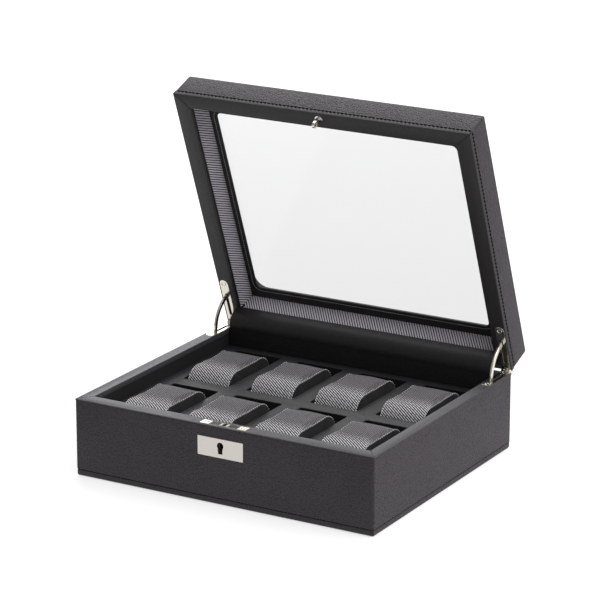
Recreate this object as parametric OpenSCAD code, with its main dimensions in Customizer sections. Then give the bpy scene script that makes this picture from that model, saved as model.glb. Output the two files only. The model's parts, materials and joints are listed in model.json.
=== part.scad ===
// Glass-topped watch box: a leather-covered wooden base with eight cushion
// pockets, and a framed glass lid on a pair of stay hinges with a small lock.
// Millimetres, +Z up, front towards -Y, origin under the middle of the base.

/* [Box] */
// Outside width
box_w = 290; // [284:1:300]
// Outside depth, front to back
box_d = 248; // [244:1:256]
// Height of the base, floor to rim
base_h = 69.5; // [68:0.5:76]
// Height of the lid above the rim when it is shut
lid_h = 30.5; // [30:0.5:34]
// How far the lid stands open from shut, in degrees
lid_open = 69; // [40:1:69]
// Radius of the upright corners
corner_r = 2; // [1.5:0.5:3]
// Radius along the top edges of the lid
lid_edge_r = 3.5; // [2:0.5:4]

/* [Walls] */
// Thickness of the leather
leather_t = 1; // [0.8:0.1:1.2]
// Thickness of the fabric lining
lining_t = 0.8; // [0.5:0.1:1]
// Covered thickness of the left and right base walls
base_side_t = 10.8; // [10:0.1:11.5]
// Covered thickness of the front and back walls
front_t = 13.8; // [13:0.1:14.5]
// Covered thickness of the left and right lid walls
lid_side_t = 15; // [14:0.5:16]
// Thickness of the bottom board
bottom_t = 5; // [4:0.5:6]
// Thickness of the felt under the base
felt_t = 1; // [0.6:0.1:1.5]

/* [Tray] */
// Depth of the tray's top below the rim
deck_drop = 15.9; // [14:0.1:18]
// Distance between the middles of two pockets side by side
pocket_pitch = 64.3; // [63:0.1:65]
// Width of a pocket
pocket_w = 46.5; // [45:0.5:48]
// Length of a pocket, front to back
pocket_l = 92; // [88:0.5:93]
// Thickness of the divider between the two rows
divider_t = 15.4; // [14:0.1:17]
// Thickness of the padded tray floor
floor_pad_t = 4; // [3:0.5:5]

/* [Cushions] */
// Width of a cushion
cushion_w = 43; // [40:0.5:44]
// Length of a cushion, front to back
cushion_l = 76; // [68:1:80]
// Height of a cushion's crown above the tray's top
cushion_rise = 9.6; // [6:0.1:12]
// Thickness of a cushion's cover
cover_t = 1.2; // [0.8:0.1:2]

/* [Lid window] */
// Width of the window
window_w = 236; // [228:1:240]
// Depth of the window
window_d = 189.4; // [184:0.2:192]
// Height of the ledge under the glass above the lid's rim
ledge_rise = 19.3; // [18:0.1:20]
// Thickness of the glass
glass_t = 3; // [2:0.5:4]

/* [Hinges] */
// Distance of the hinge line behind the back of the box
hinge_back = 1.3; // [1:0.1:2]
// Distance of each hinge's middle from the middle of the box
hinge_x = 139.5; // [139.3:0.1:139.7]
// Width of a hinge leaf
leaf_w = 8.6; // [8.4:0.1:8.8]
// Thickness of a hinge leaf
leaf_t = 1.6; // [1.4:0.1:1.8]
// Length of a base leaf from the hinge line
base_leaf_l = 43; // [42:1:46]
// Length of a lid leaf from the hinge line
lid_leaf_l = 48; // [46:1:50]
// Middle radius of the curved stay
stay_r = 30.3; // [29.8:0.1:30.6]
// Width of the stay across its curve
stay_w = 4; // [3.6:0.1:4.2]

/* [Lock] */
// Length of the lock's top plate
selvedge_l = 44; // [42:1:46]
// Width of the escutcheon
escutcheon_w = 44; // [40:1:46]
// Height of the escutcheon
escutcheon_h = 16.7; // [16:0.1:18]
// Height of the keyhole's round part above the floor
keyhole_z = 53; // [52:0.5:54]
// Travel of the bolt
bolt_travel = 6; // [5:0.5:7]

/* [Hidden] */
$fn = 64;

leather = [0.17, 0.165, 0.17];
rim_grey = [0.42, 0.41, 0.42];
dark_velour = [0.06, 0.06, 0.065];
ribbed_grey = [0.36, 0.35, 0.36];
band_grey = [0.33, 0.32, 0.33];
bare_board = [0.62, 0.5, 0.36];
foam = [0.85, 0.84, 0.78];
nickel = [0.78, 0.77, 0.73];

over = 1;                              // how far a cut runs past a face
rim_gap = 0.1;                         // each rim face stops this short of the hinge line
half_w = box_w / 2;
half_d = box_d / 2;
rim_z = base_h - rim_gap;              // top of the base rim
lid_z = base_h + rim_gap;              // underside of the shut lid's rim
lid_top = base_h + lid_h;
hinge_y = half_d + hinge_back;

board_x = half_w - leather_t;          // outer faces of the boards
board_y = half_d - leather_t;
inner_x = half_w - base_side_t;        // inner faces of the finished base
inner_y = half_d - front_t;
lid_inner_x = half_w - lid_side_t;     // inner faces of the finished lid
board_top = rim_z - leather_t;
floor_z = felt_t + bottom_t;           // top of the bottom board
pad_z = floor_z + floor_pad_t;         // floor of the pockets
deck_z = base_h - deck_drop;           // top of the tray
rib_top = deck_z - leather_t;

columns = [-1.5, -0.5, 0.5, 1.5] * pocket_pitch;
rows = [-1, 1];                        // front row, back row
row_front = [-divider_t / 2 - pocket_l, divider_t / 2];
side_strip_x = columns[3] + pocket_w / 2;
end_strip_y = divider_t / 2 + pocket_l;

cushion_gap = 0.3;                     // clearance under a cushion
cushion_setback = 1.5;                 // gap in front of a cushion
cushion_h = deck_z + cushion_rise - pad_z - cushion_gap;
cushion_top_r = 16;
cushion_foot_r = 6;

lid_board_z = lid_z + leather_t;       // rim ends of the lid boards
retainer_t = 1.5;
ledge_z = base_h + ledge_rise;
glass_z = ledge_z + retainer_t;
panel_z = glass_z + glass_t;
glass_slack = 0.5;                     // gap round the glass
window_r = 4.5;
window_step = 8;                       // the top's opening is this much wider all round

lock_y = -half_d + front_t / 2;        // middle of the front wall
case_l = 40;
case_t = 8.4;
case_z = 44;
case_wall = 1.2;
slot_l = 3.6;                          // opening for the staple, along the wall
slot_w = 6;                            // and across it
staple_t = 2.4;
staple_w = 5.2;
staple_drop = 10.5;
eye_w = 2.6;
eye_z = [60, 65];
bolt_t = 2.2;
bolt_h = 3.4;
bolt_z = 61;
bolt_l = 10;
keyhole_r = 3.1;
keyslot_w = 4.2;
keyslot_bottom = 45.9;
escutcheon_t = 1.2;
escutcheon_sunk = 0.4;
escutcheon_z = keyhole_z - 10.5;

knuckle_r = 3.2;
pin_r = 1.3;
pin_play = 0.05;
lid_knuckle_w = 2.8;
knuckle_gap = 0.2;
leaf_slot_w = 2.8;
leaf_slot_near = 9;                    // slot ends, measured from the hinge line
stay_t = 1.6;
stay_end = 6.5;                        // how far the stay reaches past each rim, degrees
stay_pin_r = 1.4;
stay_pin_l = 5;
stay_room = 0.5;                       // clearance round the stay in its mortises
mortise_end = 47;                      // degrees
screw_r = 1.3;
screw_head_r = 2.2;
screw_head_t = 0.9;
screw_l = 9;
screw_inset = 4.3;                     // leaf screw, measured from the leaf's end
gusset_t = 0.8;
gusset_r = 8;
gusset_steps = 20;
gusset_clear = 0.05;                   // gap to both rims, so the fold rests on neither

// A box between two corners
module block(x, y, z) {
    translate([x[0], y[0], z[0]])
        cube([x[1] - x[0], y[1] - y[0], z[1] - z[0]]);
}

// A block with rounded upright corners, centred on the box
module upright(half_x, half_y, z, r) {
    block([-half_x + r, half_x - r], [-half_y, half_y], z);
    block([-half_x, half_x], [-half_y + r, half_y - r], z);
    for (sx = [-1, 1], sy = [-1, 1])
        translate([sx * (half_x - r), sy * (half_y - r), z[0]])
            cylinder(r = r, h = z[1] - z[0]);
}

// A four-sided frame
module frame(outer_x, outer_y, in_x, in_y, z) {
    difference() {
        block([-outer_x, outer_x], [-outer_y, outer_y], z);
        block([-in_x, in_x], [-in_y, in_y], [z[0] - over, z[1] + over]);
    }
}

// A bar along X whose two top edges are rounded
module soft_bar(half_l, half_across, z, r) {
    block([-half_l, half_l], [-half_across, half_across], [z[0], z[1] - r]);
    block([-half_l, half_l], [-half_across + r, half_across - r], z);
    for (s = [-1, 1])
        translate([-half_l, s * (half_across - r), z[1] - r])
            rotate([0, 90, 0])
                cylinder(r = r, h = 2 * half_l);
}

// The lid's outer shape, drawn in by inset all round
module lid_shape(inset) {
    x = half_w - inset;
    y = half_d - inset;
    z = [lid_board_z, lid_top - inset];
    r = lid_edge_r - inset;
    intersection() {
        upright(x, y, z, corner_r - inset);
        soft_bar(x + over, y, z, r);
        rotate([0, 0, 90])
            soft_bar(y + over, x, z, r);
    }
}

// Rounds the upright corners of a board that lies under the leather
module under_leather() {
    intersection() {
        children();
        upright(board_x, board_y, [0, lid_top], corner_r - leather_t);
    }
}

// Turns what is drawn shut to the place it has in the open lid
module opened() {
    translate([0, hinge_y, base_h])
        rotate([-lid_open, 0, 0])
            translate([0, -hinge_y, -base_h])
                children();
}

// A part of a ring round the hinge line; 0 degrees points to the front, 90 up
module hinge_arc(x, r, angles, t) {
    translate([x, hinge_y, base_h])
        rotate([90, 0, -90])
            rotate([0, 0, angles[0]])
                rotate_extrude(angle = angles[1] - angles[0], $fn = 120)
                    translate([r[0], -t / 2])
                        square([r[1] - r[0], t]);
}

// A rod along X that crosses the hinge's middle
module hinge_rod(x, r, l) {
    translate([x - l / 2, hinge_y, base_h])
        rotate([0, 90, 0])
            cylinder(r = r, h = l);
}

// A rod along X at an angle and radius round the hinge line
module arc_rod(x, angle, r, l) {
    translate([x - l / 2, hinge_y - stay_r * cos(angle), base_h + stay_r * sin(angle)])
        rotate([0, 90, 0])
            cylinder(r = r, h = l);
}

// The room that a stay needs inside a wall, over or under the rim
module stay_mortise(x, angles) {
    hinge_arc(x, [stay_r - stay_w / 2 - stay_room, stay_r + stay_w / 2 + stay_room], angles,
        stay_pin_l + stay_room);
}

// The outline of a leaf, thickness along Z, with the play for its recess
module leaf_outline(x, l, z, play) {
    r = leaf_w / 2 + play;
    end_y = hinge_y - l + leaf_w / 2;
    block([x - r, x + r], [end_y, hinge_y], z);
    translate([x, end_y, z[0]])
        cylinder(r = r, h = z[1] - z[0]);
}

// What is cut from wood and leather for both hinges on one side of the rim
module hinge_recess(l, z, angles) {
    for (x = [-hinge_x, hinge_x]) {
        leaf_outline(x, l, z, 0);
        stay_mortise(x, angles);
        hinge_rod(x, knuckle_r + stay_room, leaf_w + stay_room);
    }
}

module base_hinge_recess() {
    hinge_recess(base_leaf_l, [rim_z - leaf_t, base_h + over], [-mortise_end, 2]);
    screw_bores(base_leaf_l, rim_z, -1);
}

module lid_hinge_recess() {
    hinge_recess(lid_leaf_l, [base_h - over, lid_z + leaf_t], [-2, mortise_end]);
    screw_bores(lid_leaf_l, lid_z, 1);
}

// The long slot that lets the stay through a leaf
module leaf_slot(x, z) {
    far = stay_r + stay_w / 2 + stay_room;
    block([x - leaf_slot_w / 2, x + leaf_slot_w / 2],
        [hinge_y - far, hinge_y - leaf_slot_near], [z[0] - over, z[1] + over]);
}

// A countersunk wood screw with its head at z; way is -1 into the base, 1 into the lid
module screw(x, y, z, way) {
    translate([x, y, z])
        rotate([way < 0 ? 180 : 0, 0, 0]) {
            cylinder(r1 = screw_head_r, r2 = screw_r, h = screw_head_t);
            cylinder(r = screw_r, h = screw_l);
        }
}

module screw_bores(l, z, way) {
    for (x = [-hinge_x, hinge_x])
        screw(x, hinge_y - l + screw_inset, z, way);
}

// The keyhole: a round part with a slot below it, cut from face y by depth
module keyhole(y, depth, play) {
    translate([0, y, keyhole_z])
        rotate([-90, 0, 0])
            cylinder(r = keyhole_r + play, h = depth);
    block([-keyslot_w / 2 - play, keyslot_w / 2 + play], [y, y + depth],
        [keyslot_bottom - play, keyhole_z]);
}

// ---- base carcass ----

module underside_felt() {
    inset = 4;
    color(dark_velour)
        upright(half_w - inset, half_d - inset, [0, felt_t], corner_r);
}

module bottom_board() {
    color(bare_board)
        block([-inner_x - lining_t, inner_x + lining_t], [-inner_y - lining_t, inner_y + lining_t],
            [felt_t, floor_z]);
}

module front_board() {
    color(bare_board)
        difference() {
            under_leather()
                block([-board_x, board_x], [-board_y, -inner_y - lining_t], [felt_t, board_top]);
            block([-case_l / 2, case_l / 2], [lock_y - case_t / 2, lock_y + case_t / 2],
                [case_z, base_h]);
            block([-selvedge_l / 2, selvedge_l / 2], [lock_y - case_t / 2, lock_y + case_t / 2],
                [rim_z - leaf_t, base_h]);
            keyhole(-half_d - over, front_t / 2, 0.6);
            lock_screw_bores();
        }
}

module back_board() {
    color(bare_board)
        difference() {
            under_leather()
                block([-board_x, board_x], [inner_y + lining_t, board_y], [felt_t, board_top]);
            base_hinge_recess();
        }
}

module side_board(side) {
    near = inner_x + lining_t;
    x = side < 0 ? [-board_x, -near] : [near, board_x];
    color(bare_board)
        difference() {
            block(x, [-inner_y - lining_t, inner_y + lining_t], [felt_t, board_top]);
            base_hinge_recess();
        }
}

module left_board() { side_board(-1); }
module right_board() { side_board(1); }

module base_leather() {
    z = [felt_t, board_top];
    color(leather)
        difference() {
            upright(half_w, half_d, z, corner_r);
            upright(board_x, board_y, [z[0] - over, z[1] + over], corner_r - leather_t);
            escutcheon_plate(over);
            keyhole(-half_d - over, front_t / 2, 0.6);
            base_hinge_recess();
        }
}

module rim_leather() {
    color(rim_grey)
        difference() {
            upright(half_w, half_d, [board_top, rim_z], corner_r);
            block([-inner_x, inner_x], [-inner_y, inner_y], [board_top - over, base_h]);
            block([-selvedge_l / 2, selvedge_l / 2], [lock_y - case_t / 2, lock_y + case_t / 2],
                [board_top - over, base_h]);
            base_hinge_recess();
        }
}

module base_lining() {
    color(dark_velour)
        frame(inner_x + lining_t, inner_y + lining_t, inner_x, inner_y, [floor_z, board_top]);
}

// ---- tray ----

module tray_floor_pad() {
    color(dark_velour)
        block([-inner_x, inner_x], [-inner_y, inner_y], [floor_z, pad_z]);
}

module tray_divider() {
    color(leather)
        block([-side_strip_x, side_strip_x], [-divider_t / 2, divider_t / 2], [pad_z, rib_top]);
}

module tray_ribs() {
    rib_t = pocket_pitch - pocket_w;
    color(leather)
        for (i = [-1, 0, 1], y = row_front)
            translate([i * pocket_pitch, 0, 0])
                block([-rib_t / 2, rib_t / 2], [y, y + pocket_l], [pad_z, rib_top]);
}

module tray_side_strips() {
    color(leather)
        for (x = [[-inner_x, -side_strip_x], [side_strip_x, inner_x]])
            block(x, [-end_strip_y, end_strip_y], [pad_z, rib_top]);
}

module tray_end_strips() {
    color(leather)
        for (y = [[-inner_y, -end_strip_y], [end_strip_y, inner_y]])
            block([-inner_x, inner_x], y, [pad_z, rib_top]);
}

module tray_leather() {
    color(rim_grey)
        difference() {
            block([-inner_x, inner_x], [-inner_y, inner_y], [rib_top, deck_z]);
            for (x = columns, y = row_front)
                block([x - pocket_w / 2, x + pocket_w / 2], [y, y + pocket_l],
                    [rib_top - over, deck_z + over]);
        }
}

// ---- cushions ----

// A bar across the pocket with the outline of a cushion seen from its side
module cushion_shape(row, column, inset) {
    front = row_front[row] + cushion_setback;
    foot = pad_z + cushion_gap;
    y = [front + inset, front + cushion_l - inset];
    z = [foot + inset, foot + cushion_h - inset];
    top_r = cushion_top_r - inset;
    foot_r = cushion_foot_r - inset;
    w = cushion_w - 2 * inset;
    translate([columns[column] - w / 2, 0, 0]) {
        block([0, w], [y[0] + top_r, y[1] - top_r], z);
        block([0, w], y, [z[0] + foot_r, z[1] - top_r]);
        block([0, w], [y[0] + foot_r, y[1] - foot_r], [z[0], z[1] - top_r]);
        for (c = [[y[0] + top_r, z[1] - top_r], [y[1] - top_r, z[1] - top_r]])
            translate([0, c[0], c[1]])
                rotate([0, 90, 0])
                    cylinder(r = top_r, h = w);
        for (c = [[y[0] + foot_r, z[0] + foot_r], [y[1] - foot_r, z[0] + foot_r]])
            translate([0, c[0], c[1]])
                rotate([0, 90, 0])
                    cylinder(r = foot_r, h = w);
    }
}

module cushion_cover(row, column) {
    color(band_grey)
        difference() {
            cushion_shape(row, column, 0);
            cushion_shape(row, column, cover_t);
        }
}

module cushion_core(row, column) {
    color(foam)
        cushion_shape(row, column, cover_t);
}

// ---- lock ----

module lock_screw_bores() {
    for (s = [-1, 1])
        screw(s * (case_l / 2 - 3), lock_y, rim_z, -1);
}

module lock_case() {
    cavity_x = case_l / 2 - case_wall - 6;
    color(nickel)
        difference() {
            block([-case_l / 2, case_l / 2], [lock_y - case_t / 2, lock_y + case_t / 2],
                [case_z, rim_z - leaf_t]);
            block([-cavity_x, cavity_x],
                [lock_y - case_t / 2 + case_wall, lock_y + case_t / 2 - case_wall],
                [case_z + case_wall, rim_z - leaf_t - case_wall]);
            block([-slot_l / 2, slot_l / 2], [lock_y - slot_w / 2, lock_y + slot_w / 2],
                [bolt_z, base_h]);
            keyhole(lock_y - case_t / 2 - over, case_t / 2, 0.2);
            lock_screw_bores();
        }
}

module lock_selvedge() {
    color(nickel)
        difference() {
            block([-selvedge_l / 2, selvedge_l / 2], [lock_y - case_t / 2, lock_y + case_t / 2],
                [rim_z - leaf_t, rim_z]);
            block([-slot_l / 2, slot_l / 2], [lock_y - slot_w / 2, lock_y + slot_w / 2],
                [rim_z - leaf_t - over, base_h]);
            lock_screw_bores();
        }
}

module lock_screws() {
    color(nickel)
        lock_screw_bores();
}

module lock_bolt() {
    tip = -slot_l / 2 - 0.2;
    tab_l = 4;
    tab_h = 5;
    color(nickel) {
        block([tip - bolt_l, tip], [lock_y - bolt_t / 2, lock_y + bolt_t / 2],
            [bolt_z, bolt_z + bolt_h]);
        block([tip - bolt_l, tip - bolt_l + tab_l], [lock_y - bolt_t / 2, lock_y + bolt_t / 2],
            [bolt_z - tab_h, bolt_z]);
    }
}

// The escutcheon without its keyhole, with grow to cut its seat in the leather
module escutcheon_plate(grow) {
    y = -half_d + escutcheon_sunk;
    block([-escutcheon_w / 2, escutcheon_w / 2], [y - escutcheon_t - grow, y],
        [escutcheon_z, escutcheon_z + escutcheon_h]);
}

module escutcheon() {
    color(nickel)
        difference() {
            escutcheon_plate(0);
            keyhole(-half_d - 3 * over, front_t / 2, 0);
        }
}

// ---- hinges ----

module base_leaf(x) {
    z = [rim_z - leaf_t, rim_z];
    color(nickel)
        difference() {
            union() {
                difference() {
                    leaf_outline(x, base_leaf_l, z, 0);
                    hinge_rod(x, knuckle_r + knuckle_gap, lid_knuckle_w + 2 * knuckle_gap);
                    block([x - leaf_w, x + leaf_w], [hinge_y - 1.5, hinge_y + over],
                        [z[0] - over, z[1] + over]);
                }
                for (s = [-1, 1])
                    knuckle(x, s);
            }
            hinge_rod(x, pin_r, leaf_w + over);
            leaf_slot(x, z);
            screw_bores(base_leaf_l, rim_z, -1);
        }
}

// One of the two outer knuckles, which belong to the base leaf
module knuckle(x, s) {
    near = lid_knuckle_w / 2 + knuckle_gap;
    l = leaf_w / 2 - near;
    hinge_rod(x + s * (near + l / 2), knuckle_r, l);
}

module lid_leaf(x) {
    z = [lid_z, lid_z + leaf_t];
    side_cut = knuckle_r + knuckle_gap;
    color(nickel)
        opened()
            difference() {
                union() {
                    difference() {
                        leaf_outline(x, lid_leaf_l, z, 0);
                        for (s = [-1, 1])
                            hinge_rod(x + s * (lid_knuckle_w / 2 + leaf_w / 2), side_cut, leaf_w);
                        block([x - leaf_w, x + leaf_w], [hinge_y - 1.5, hinge_y + over],
                            [z[0] - over, z[1] + over]);
                    }
                    hinge_rod(x, knuckle_r, lid_knuckle_w);
                }
                hinge_rod(x, pin_r + pin_play, leaf_w + over);
                leaf_slot(x, z);
                screw_bores(lid_leaf_l, lid_z, 1);
            }
}

module hinge_pin(x) {
    color(nickel)
        hinge_rod(x, pin_r, leaf_w);
}

module left_base_leaf() { base_leaf(-hinge_x); }
module right_base_leaf() { base_leaf(hinge_x); }
module left_hinge_pin() { hinge_pin(-hinge_x); }
module right_hinge_pin() { hinge_pin(hinge_x); }
module left_lid_leaf() { lid_leaf(-hinge_x); }
module right_lid_leaf() { lid_leaf(hinge_x); }

module base_hinge_screws() {
    color(nickel)
        screw_bores(base_leaf_l, rim_z, -1);
}

module lid_hinge_screws() {
    color(nickel)
        opened()
            screw_bores(lid_leaf_l, lid_z, 1);
}

module stay(x) {
    ends = [-stay_end, lid_open + stay_end];
    color(nickel) {
        hinge_arc(x, [stay_r - stay_w / 2, stay_r + stay_w / 2], ends, stay_t);
        for (a = ends) {
            arc_rod(x, a, stay_w / 2, stay_t);
            arc_rod(x, a, stay_pin_r, stay_pin_l);
        }
    }
}

module left_stay() { stay(-hinge_x); }
module right_stay() { stay(hinge_x); }

// One face of the gusset, from the base rim's inner edge round to the lid rim's
function gusset_line(centre, r, flat) = concat(
    [[centre[0] - flat, centre[1] - r]],
    [for (i = [0:gusset_steps])
        let (a = -90 + i * (180 - lid_open) / gusset_steps)
            centre + r * [cos(a), sin(a)]],
    [centre + r * [cos(90 - lid_open), sin(90 - lid_open)]
        + flat * [-cos(lid_open), sin(lid_open)]]
);

// The leather strip that closes the back of the fold between the two hinges
module hinge_gusset() {
    half_l = inner_x - 1;
    outer_r = gusset_r + gusset_t;
    reach = outer_r + gusset_clear;
    tangent = (reach - rim_gap) / tan(lid_open / 2);
    centre = [hinge_y - tangent, rim_z + reach];
    flat = hinge_y - inner_y - tangent;
    inner_line = gusset_line(centre, gusset_r, flat);
    color(leather)
        translate([-half_l, 0, 0])
            rotate([90, 0, 90])
                linear_extrude(height = 2 * half_l)
                    polygon(concat(gusset_line(centre, outer_r, flat),
                        [for (i = [len(inner_line) - 1:-1:0]) inner_line[i]]));
}

// ---- lid ----

module lid_front_board() {
    color(bare_board)
        opened()
            difference() {
                under_leather()
                    block([-board_x, board_x], [-board_y, -inner_y - lining_t],
                        [lid_board_z, panel_z]);
                catch_disc(over);
            }
}

module lid_back_board() {
    color(bare_board)
        opened()
            difference() {
                under_leather()
                    block([-board_x, board_x], [inner_y + lining_t, board_y],
                        [lid_board_z, panel_z]);
                lid_hinge_recess();
            }
}

module lid_side_board(side) {
    near = lid_inner_x + lining_t;
    x = side < 0 ? [-board_x, -near] : [near, board_x];
    color(bare_board)
        opened()
            difference() {
                block(x, [-inner_y - lining_t, inner_y + lining_t], [lid_board_z, panel_z]);
                lid_hinge_recess();
            }
}

module lid_left_board() { lid_side_board(-1); }
module lid_right_board() { lid_side_board(1); }

// The window's opening, with rounded corners, step wider all round
module window(z, step) {
    upright(window_w / 2 + step, window_d / 2 + step, z, window_r + step);
}

module lid_top_panel() {
    color(bare_board)
        opened()
            difference() {
                intersection() {
                    lid_shape(leather_t);
                    block([-half_w, half_w], [-half_d, half_d], [panel_z, lid_top]);
                }
                window([panel_z - over, lid_top + over], window_step);
                lid_hinge_recess();
            }
}

module lid_leather() {
    color(leather)
        opened()
            difference() {
                lid_shape(0);
                lid_shape(leather_t);
                window([panel_z - over, lid_top + over], window_step);
                lid_hinge_recess();
            }
}

module lid_rim_leather() {
    color(rim_grey)
        opened()
            difference() {
                upright(half_w, half_d, [lid_z, lid_board_z], corner_r);
                block([-lid_inner_x, lid_inner_x], [-inner_y, inner_y], [base_h - over, panel_z]);
                catch_disc(over);
                lid_hinge_recess();
            }
}

module lid_lining() {
    color(ribbed_grey)
        opened()
            frame(lid_inner_x + lining_t, inner_y + lining_t, lid_inner_x, inner_y,
                [lid_board_z, ledge_z]);
}

module glass_pane() {
    x = lid_inner_x + lining_t - glass_slack;
    y = inner_y + lining_t - glass_slack;
    color([0.8, 0.86, 0.9, 0.4])
        opened()
            block([-x, x], [-y, y], [glass_z, panel_z]);
}

module glass_retainer() {
    x = lid_inner_x + lining_t;
    y = inner_y + lining_t;
    color(leather)
        opened()
            difference() {
                block([-x, x], [-y, y], [ledge_z, glass_z]);
                window([ledge_z - over, glass_z + over], 0);
            }
}

// The round plate of the catch, with grow to cut its recess down through the rim face
module catch_disc(grow) {
    disc_r = 4.2;
    disc_t = 1.4;
    translate([0, lock_y, lid_z - grow])
        cylinder(r = disc_r, h = disc_t + grow);
}

module catch_plate() {
    color(nickel)
        opened()
            catch_disc(0);
}

// The eye that hangs from the catch plate and takes the bolt
module catch_staple() {
    x = -staple_t / 2;
    r = staple_w / 2;
    foot_z = lid_z - staple_drop + r;
    color(nickel)
        opened()
            difference() {
                union() {
                    block([x, -x], [lock_y - r, lock_y + r], [foot_z, lid_z]);
                    translate([x, lock_y, foot_z])
                        rotate([0, 90, 0])
                            cylinder(r = r, h = staple_t);
                }
                block([x - over, -x + over], [lock_y - eye_w / 2, lock_y + eye_w / 2], eye_z);
            }
}

underside_felt();
bottom_board();
front_board();
back_board();
left_board();
right_board();
base_leather();
rim_leather();
base_lining();
tray_floor_pad();
tray_divider();
tray_ribs();
tray_side_strips();
tray_end_strips();
tray_leather();
cushion_cover(1, 0);  // cushion_back_1
cushion_cover(1, 1);  // cushion_back_2
cushion_cover(1, 2);  // cushion_back_3
cushion_cover(1, 3);  // cushion_back_4
cushion_cover(0, 0);  // cushion_front_1
cushion_cover(0, 1);  // cushion_front_2
cushion_cover(0, 2);  // cushion_front_3
cushion_cover(0, 3);  // cushion_front_4
cushion_core(1, 0);  // cushion_core_back_1
cushion_core(1, 1);  // cushion_core_back_2
cushion_core(1, 2);  // cushion_core_back_3
cushion_core(1, 3);  // cushion_core_back_4
cushion_core(0, 0);  // cushion_core_front_1
cushion_core(0, 1);  // cushion_core_front_2
cushion_core(0, 2);  // cushion_core_front_3
cushion_core(0, 3);  // cushion_core_front_4
lock_case();
lock_selvedge();
lock_screws();
lock_bolt();
escutcheon();
left_base_leaf();
right_base_leaf();
left_hinge_pin();
right_hinge_pin();
base_hinge_screws();
left_stay();
right_stay();
hinge_gusset();
lid_front_board();
lid_back_board();
lid_left_board();
lid_right_board();
lid_top_panel();
lid_leather();
lid_rim_leather();
lid_lining();
glass_pane();
glass_retainer();
left_lid_leaf();
right_lid_leaf();
lid_hinge_screws();
catch_plate();
catch_staple();
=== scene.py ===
# %% [markdown]
# # A leather watch box with a glass lid
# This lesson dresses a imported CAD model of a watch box: a leather-covered base with eight
# cushions, and a framed glass lid on two stay hinges. The CAD model settles every size,
# joint and fit. Blender only adds what the eye judges: rolled leather edges, seams,
# stitches, cloth and the finish of each metal. So the first step is to load that model.

# %% Load the frame
import json
import math
import bmesh
import bpy
from mathutils import Matrix, Vector, noise


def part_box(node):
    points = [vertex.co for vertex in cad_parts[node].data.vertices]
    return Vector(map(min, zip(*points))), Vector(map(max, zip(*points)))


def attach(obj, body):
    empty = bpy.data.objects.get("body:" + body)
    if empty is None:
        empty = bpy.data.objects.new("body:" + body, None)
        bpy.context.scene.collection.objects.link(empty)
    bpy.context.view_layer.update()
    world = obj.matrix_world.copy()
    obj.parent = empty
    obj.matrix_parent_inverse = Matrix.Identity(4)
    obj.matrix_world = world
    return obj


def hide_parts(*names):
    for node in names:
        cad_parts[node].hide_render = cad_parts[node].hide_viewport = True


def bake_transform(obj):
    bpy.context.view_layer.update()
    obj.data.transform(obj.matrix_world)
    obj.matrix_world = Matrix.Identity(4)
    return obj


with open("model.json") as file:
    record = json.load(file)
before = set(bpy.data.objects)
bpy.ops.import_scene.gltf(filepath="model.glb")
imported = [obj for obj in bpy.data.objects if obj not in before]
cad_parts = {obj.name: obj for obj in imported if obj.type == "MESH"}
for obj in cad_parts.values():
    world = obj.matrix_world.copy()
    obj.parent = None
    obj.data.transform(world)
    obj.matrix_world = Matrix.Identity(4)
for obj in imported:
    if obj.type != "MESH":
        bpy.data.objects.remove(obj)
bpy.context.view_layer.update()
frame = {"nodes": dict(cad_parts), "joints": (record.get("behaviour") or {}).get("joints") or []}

# %% [markdown]
# ## Sizes
# Everything is placed from the CAD nodes, so nothing has to be fitted by eye. The lid is
# modelled open, which makes its own sizes hard to read, so `shut_box` turns a lid node
# back to the shut position about the hinge line before it measures it.

# %% Sizes taken from the frame
MM = 0.001
hinge = next(j for j in frame["joints"] if j["name"] == "lid_hinge")
hinge_at = Vector(hinge["pos_m"]) / MM
lid_open = -math.radians(hinge["range_deg"][0])
opening = (
    Matrix.Translation(hinge_at)
    @ Matrix.Rotation(lid_open, 4, Vector(hinge["axis"]))
    @ Matrix.Translation(-hinge_at)
)


def node_box(node):
    """Lowest and highest corner of a CAD node, in millimetres."""
    lo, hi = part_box(node)
    return Vector(lo) / MM, Vector(hi) / MM


def shut_box(node):
    """The same for a node of the lid, with the lid shut."""
    shut = opening.inverted()
    points = [shut @ (v.co / MM) for v in frame["nodes"][node].data.vertices]
    lo = Vector(min(p[i] for p in points) for i in range(3))
    hi = Vector(max(p[i] for p in points) for i in range(3))
    return lo, hi


half_w, half_d = node_box("base_leather")[1].xy
rim_z = node_box("rim_leather")[1].z
skin_top = node_box("base_leather")[1].z
inner_x, inner_y = node_box("tray_leather")[1].xy
deck_z = node_box("tray_leather")[1].z
lid_rim_z = shut_box("lid_rim_leather")[0].z
lid_top_z = shut_box("lid_leather")[1].z
ledge_z = shut_box("glass_retainer")[0].z
glass_top = shut_box("glass_pane")[1].z
print(f"base {2 * half_w:.0f} x {2 * half_d:.0f} x {rim_z:.1f} mm")
print(f"lid open {math.degrees(lid_open):.0f} degrees")

# %% [markdown]
# ## Two small tools for materials
# Colours are written as the sRGB hex values that a painter would name, and one function
# turns them into the linear numbers that Blender's shaders expect. Another one adds a
# node, sets what is a plain setting and links what is a socket.

# %% Colour and node helpers
def colour(hex_code):
    """Linear RGBA for an sRGB hex code."""
    parts = [int(hex_code[i : i + 2], 16) / 255 for i in (1, 3, 5)]
    linear = [c / 12.92 if c <= 0.04045 else ((c + 0.055) / 1.055) ** 2.4 for c in parts]
    return (*linear, 1.0)


def add(tree, kind, settings=None, **inputs):
    """Adds a node; an input is a value, or a socket to link. Underscores stand for spaces."""
    node = tree.nodes.new(kind)
    for key, value in (settings or {}).items():
        setattr(node, key, value)
    for key, value in inputs.items():
        slot = int(key[1:]) if key[1:].isdigit() else key.replace("_", " ")
        socket = node.inputs[slot]
        if isinstance(value, bpy.types.NodeSocket):
            tree.links.new(value, socket)
        else:
            socket.default_value = value
    return node


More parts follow.
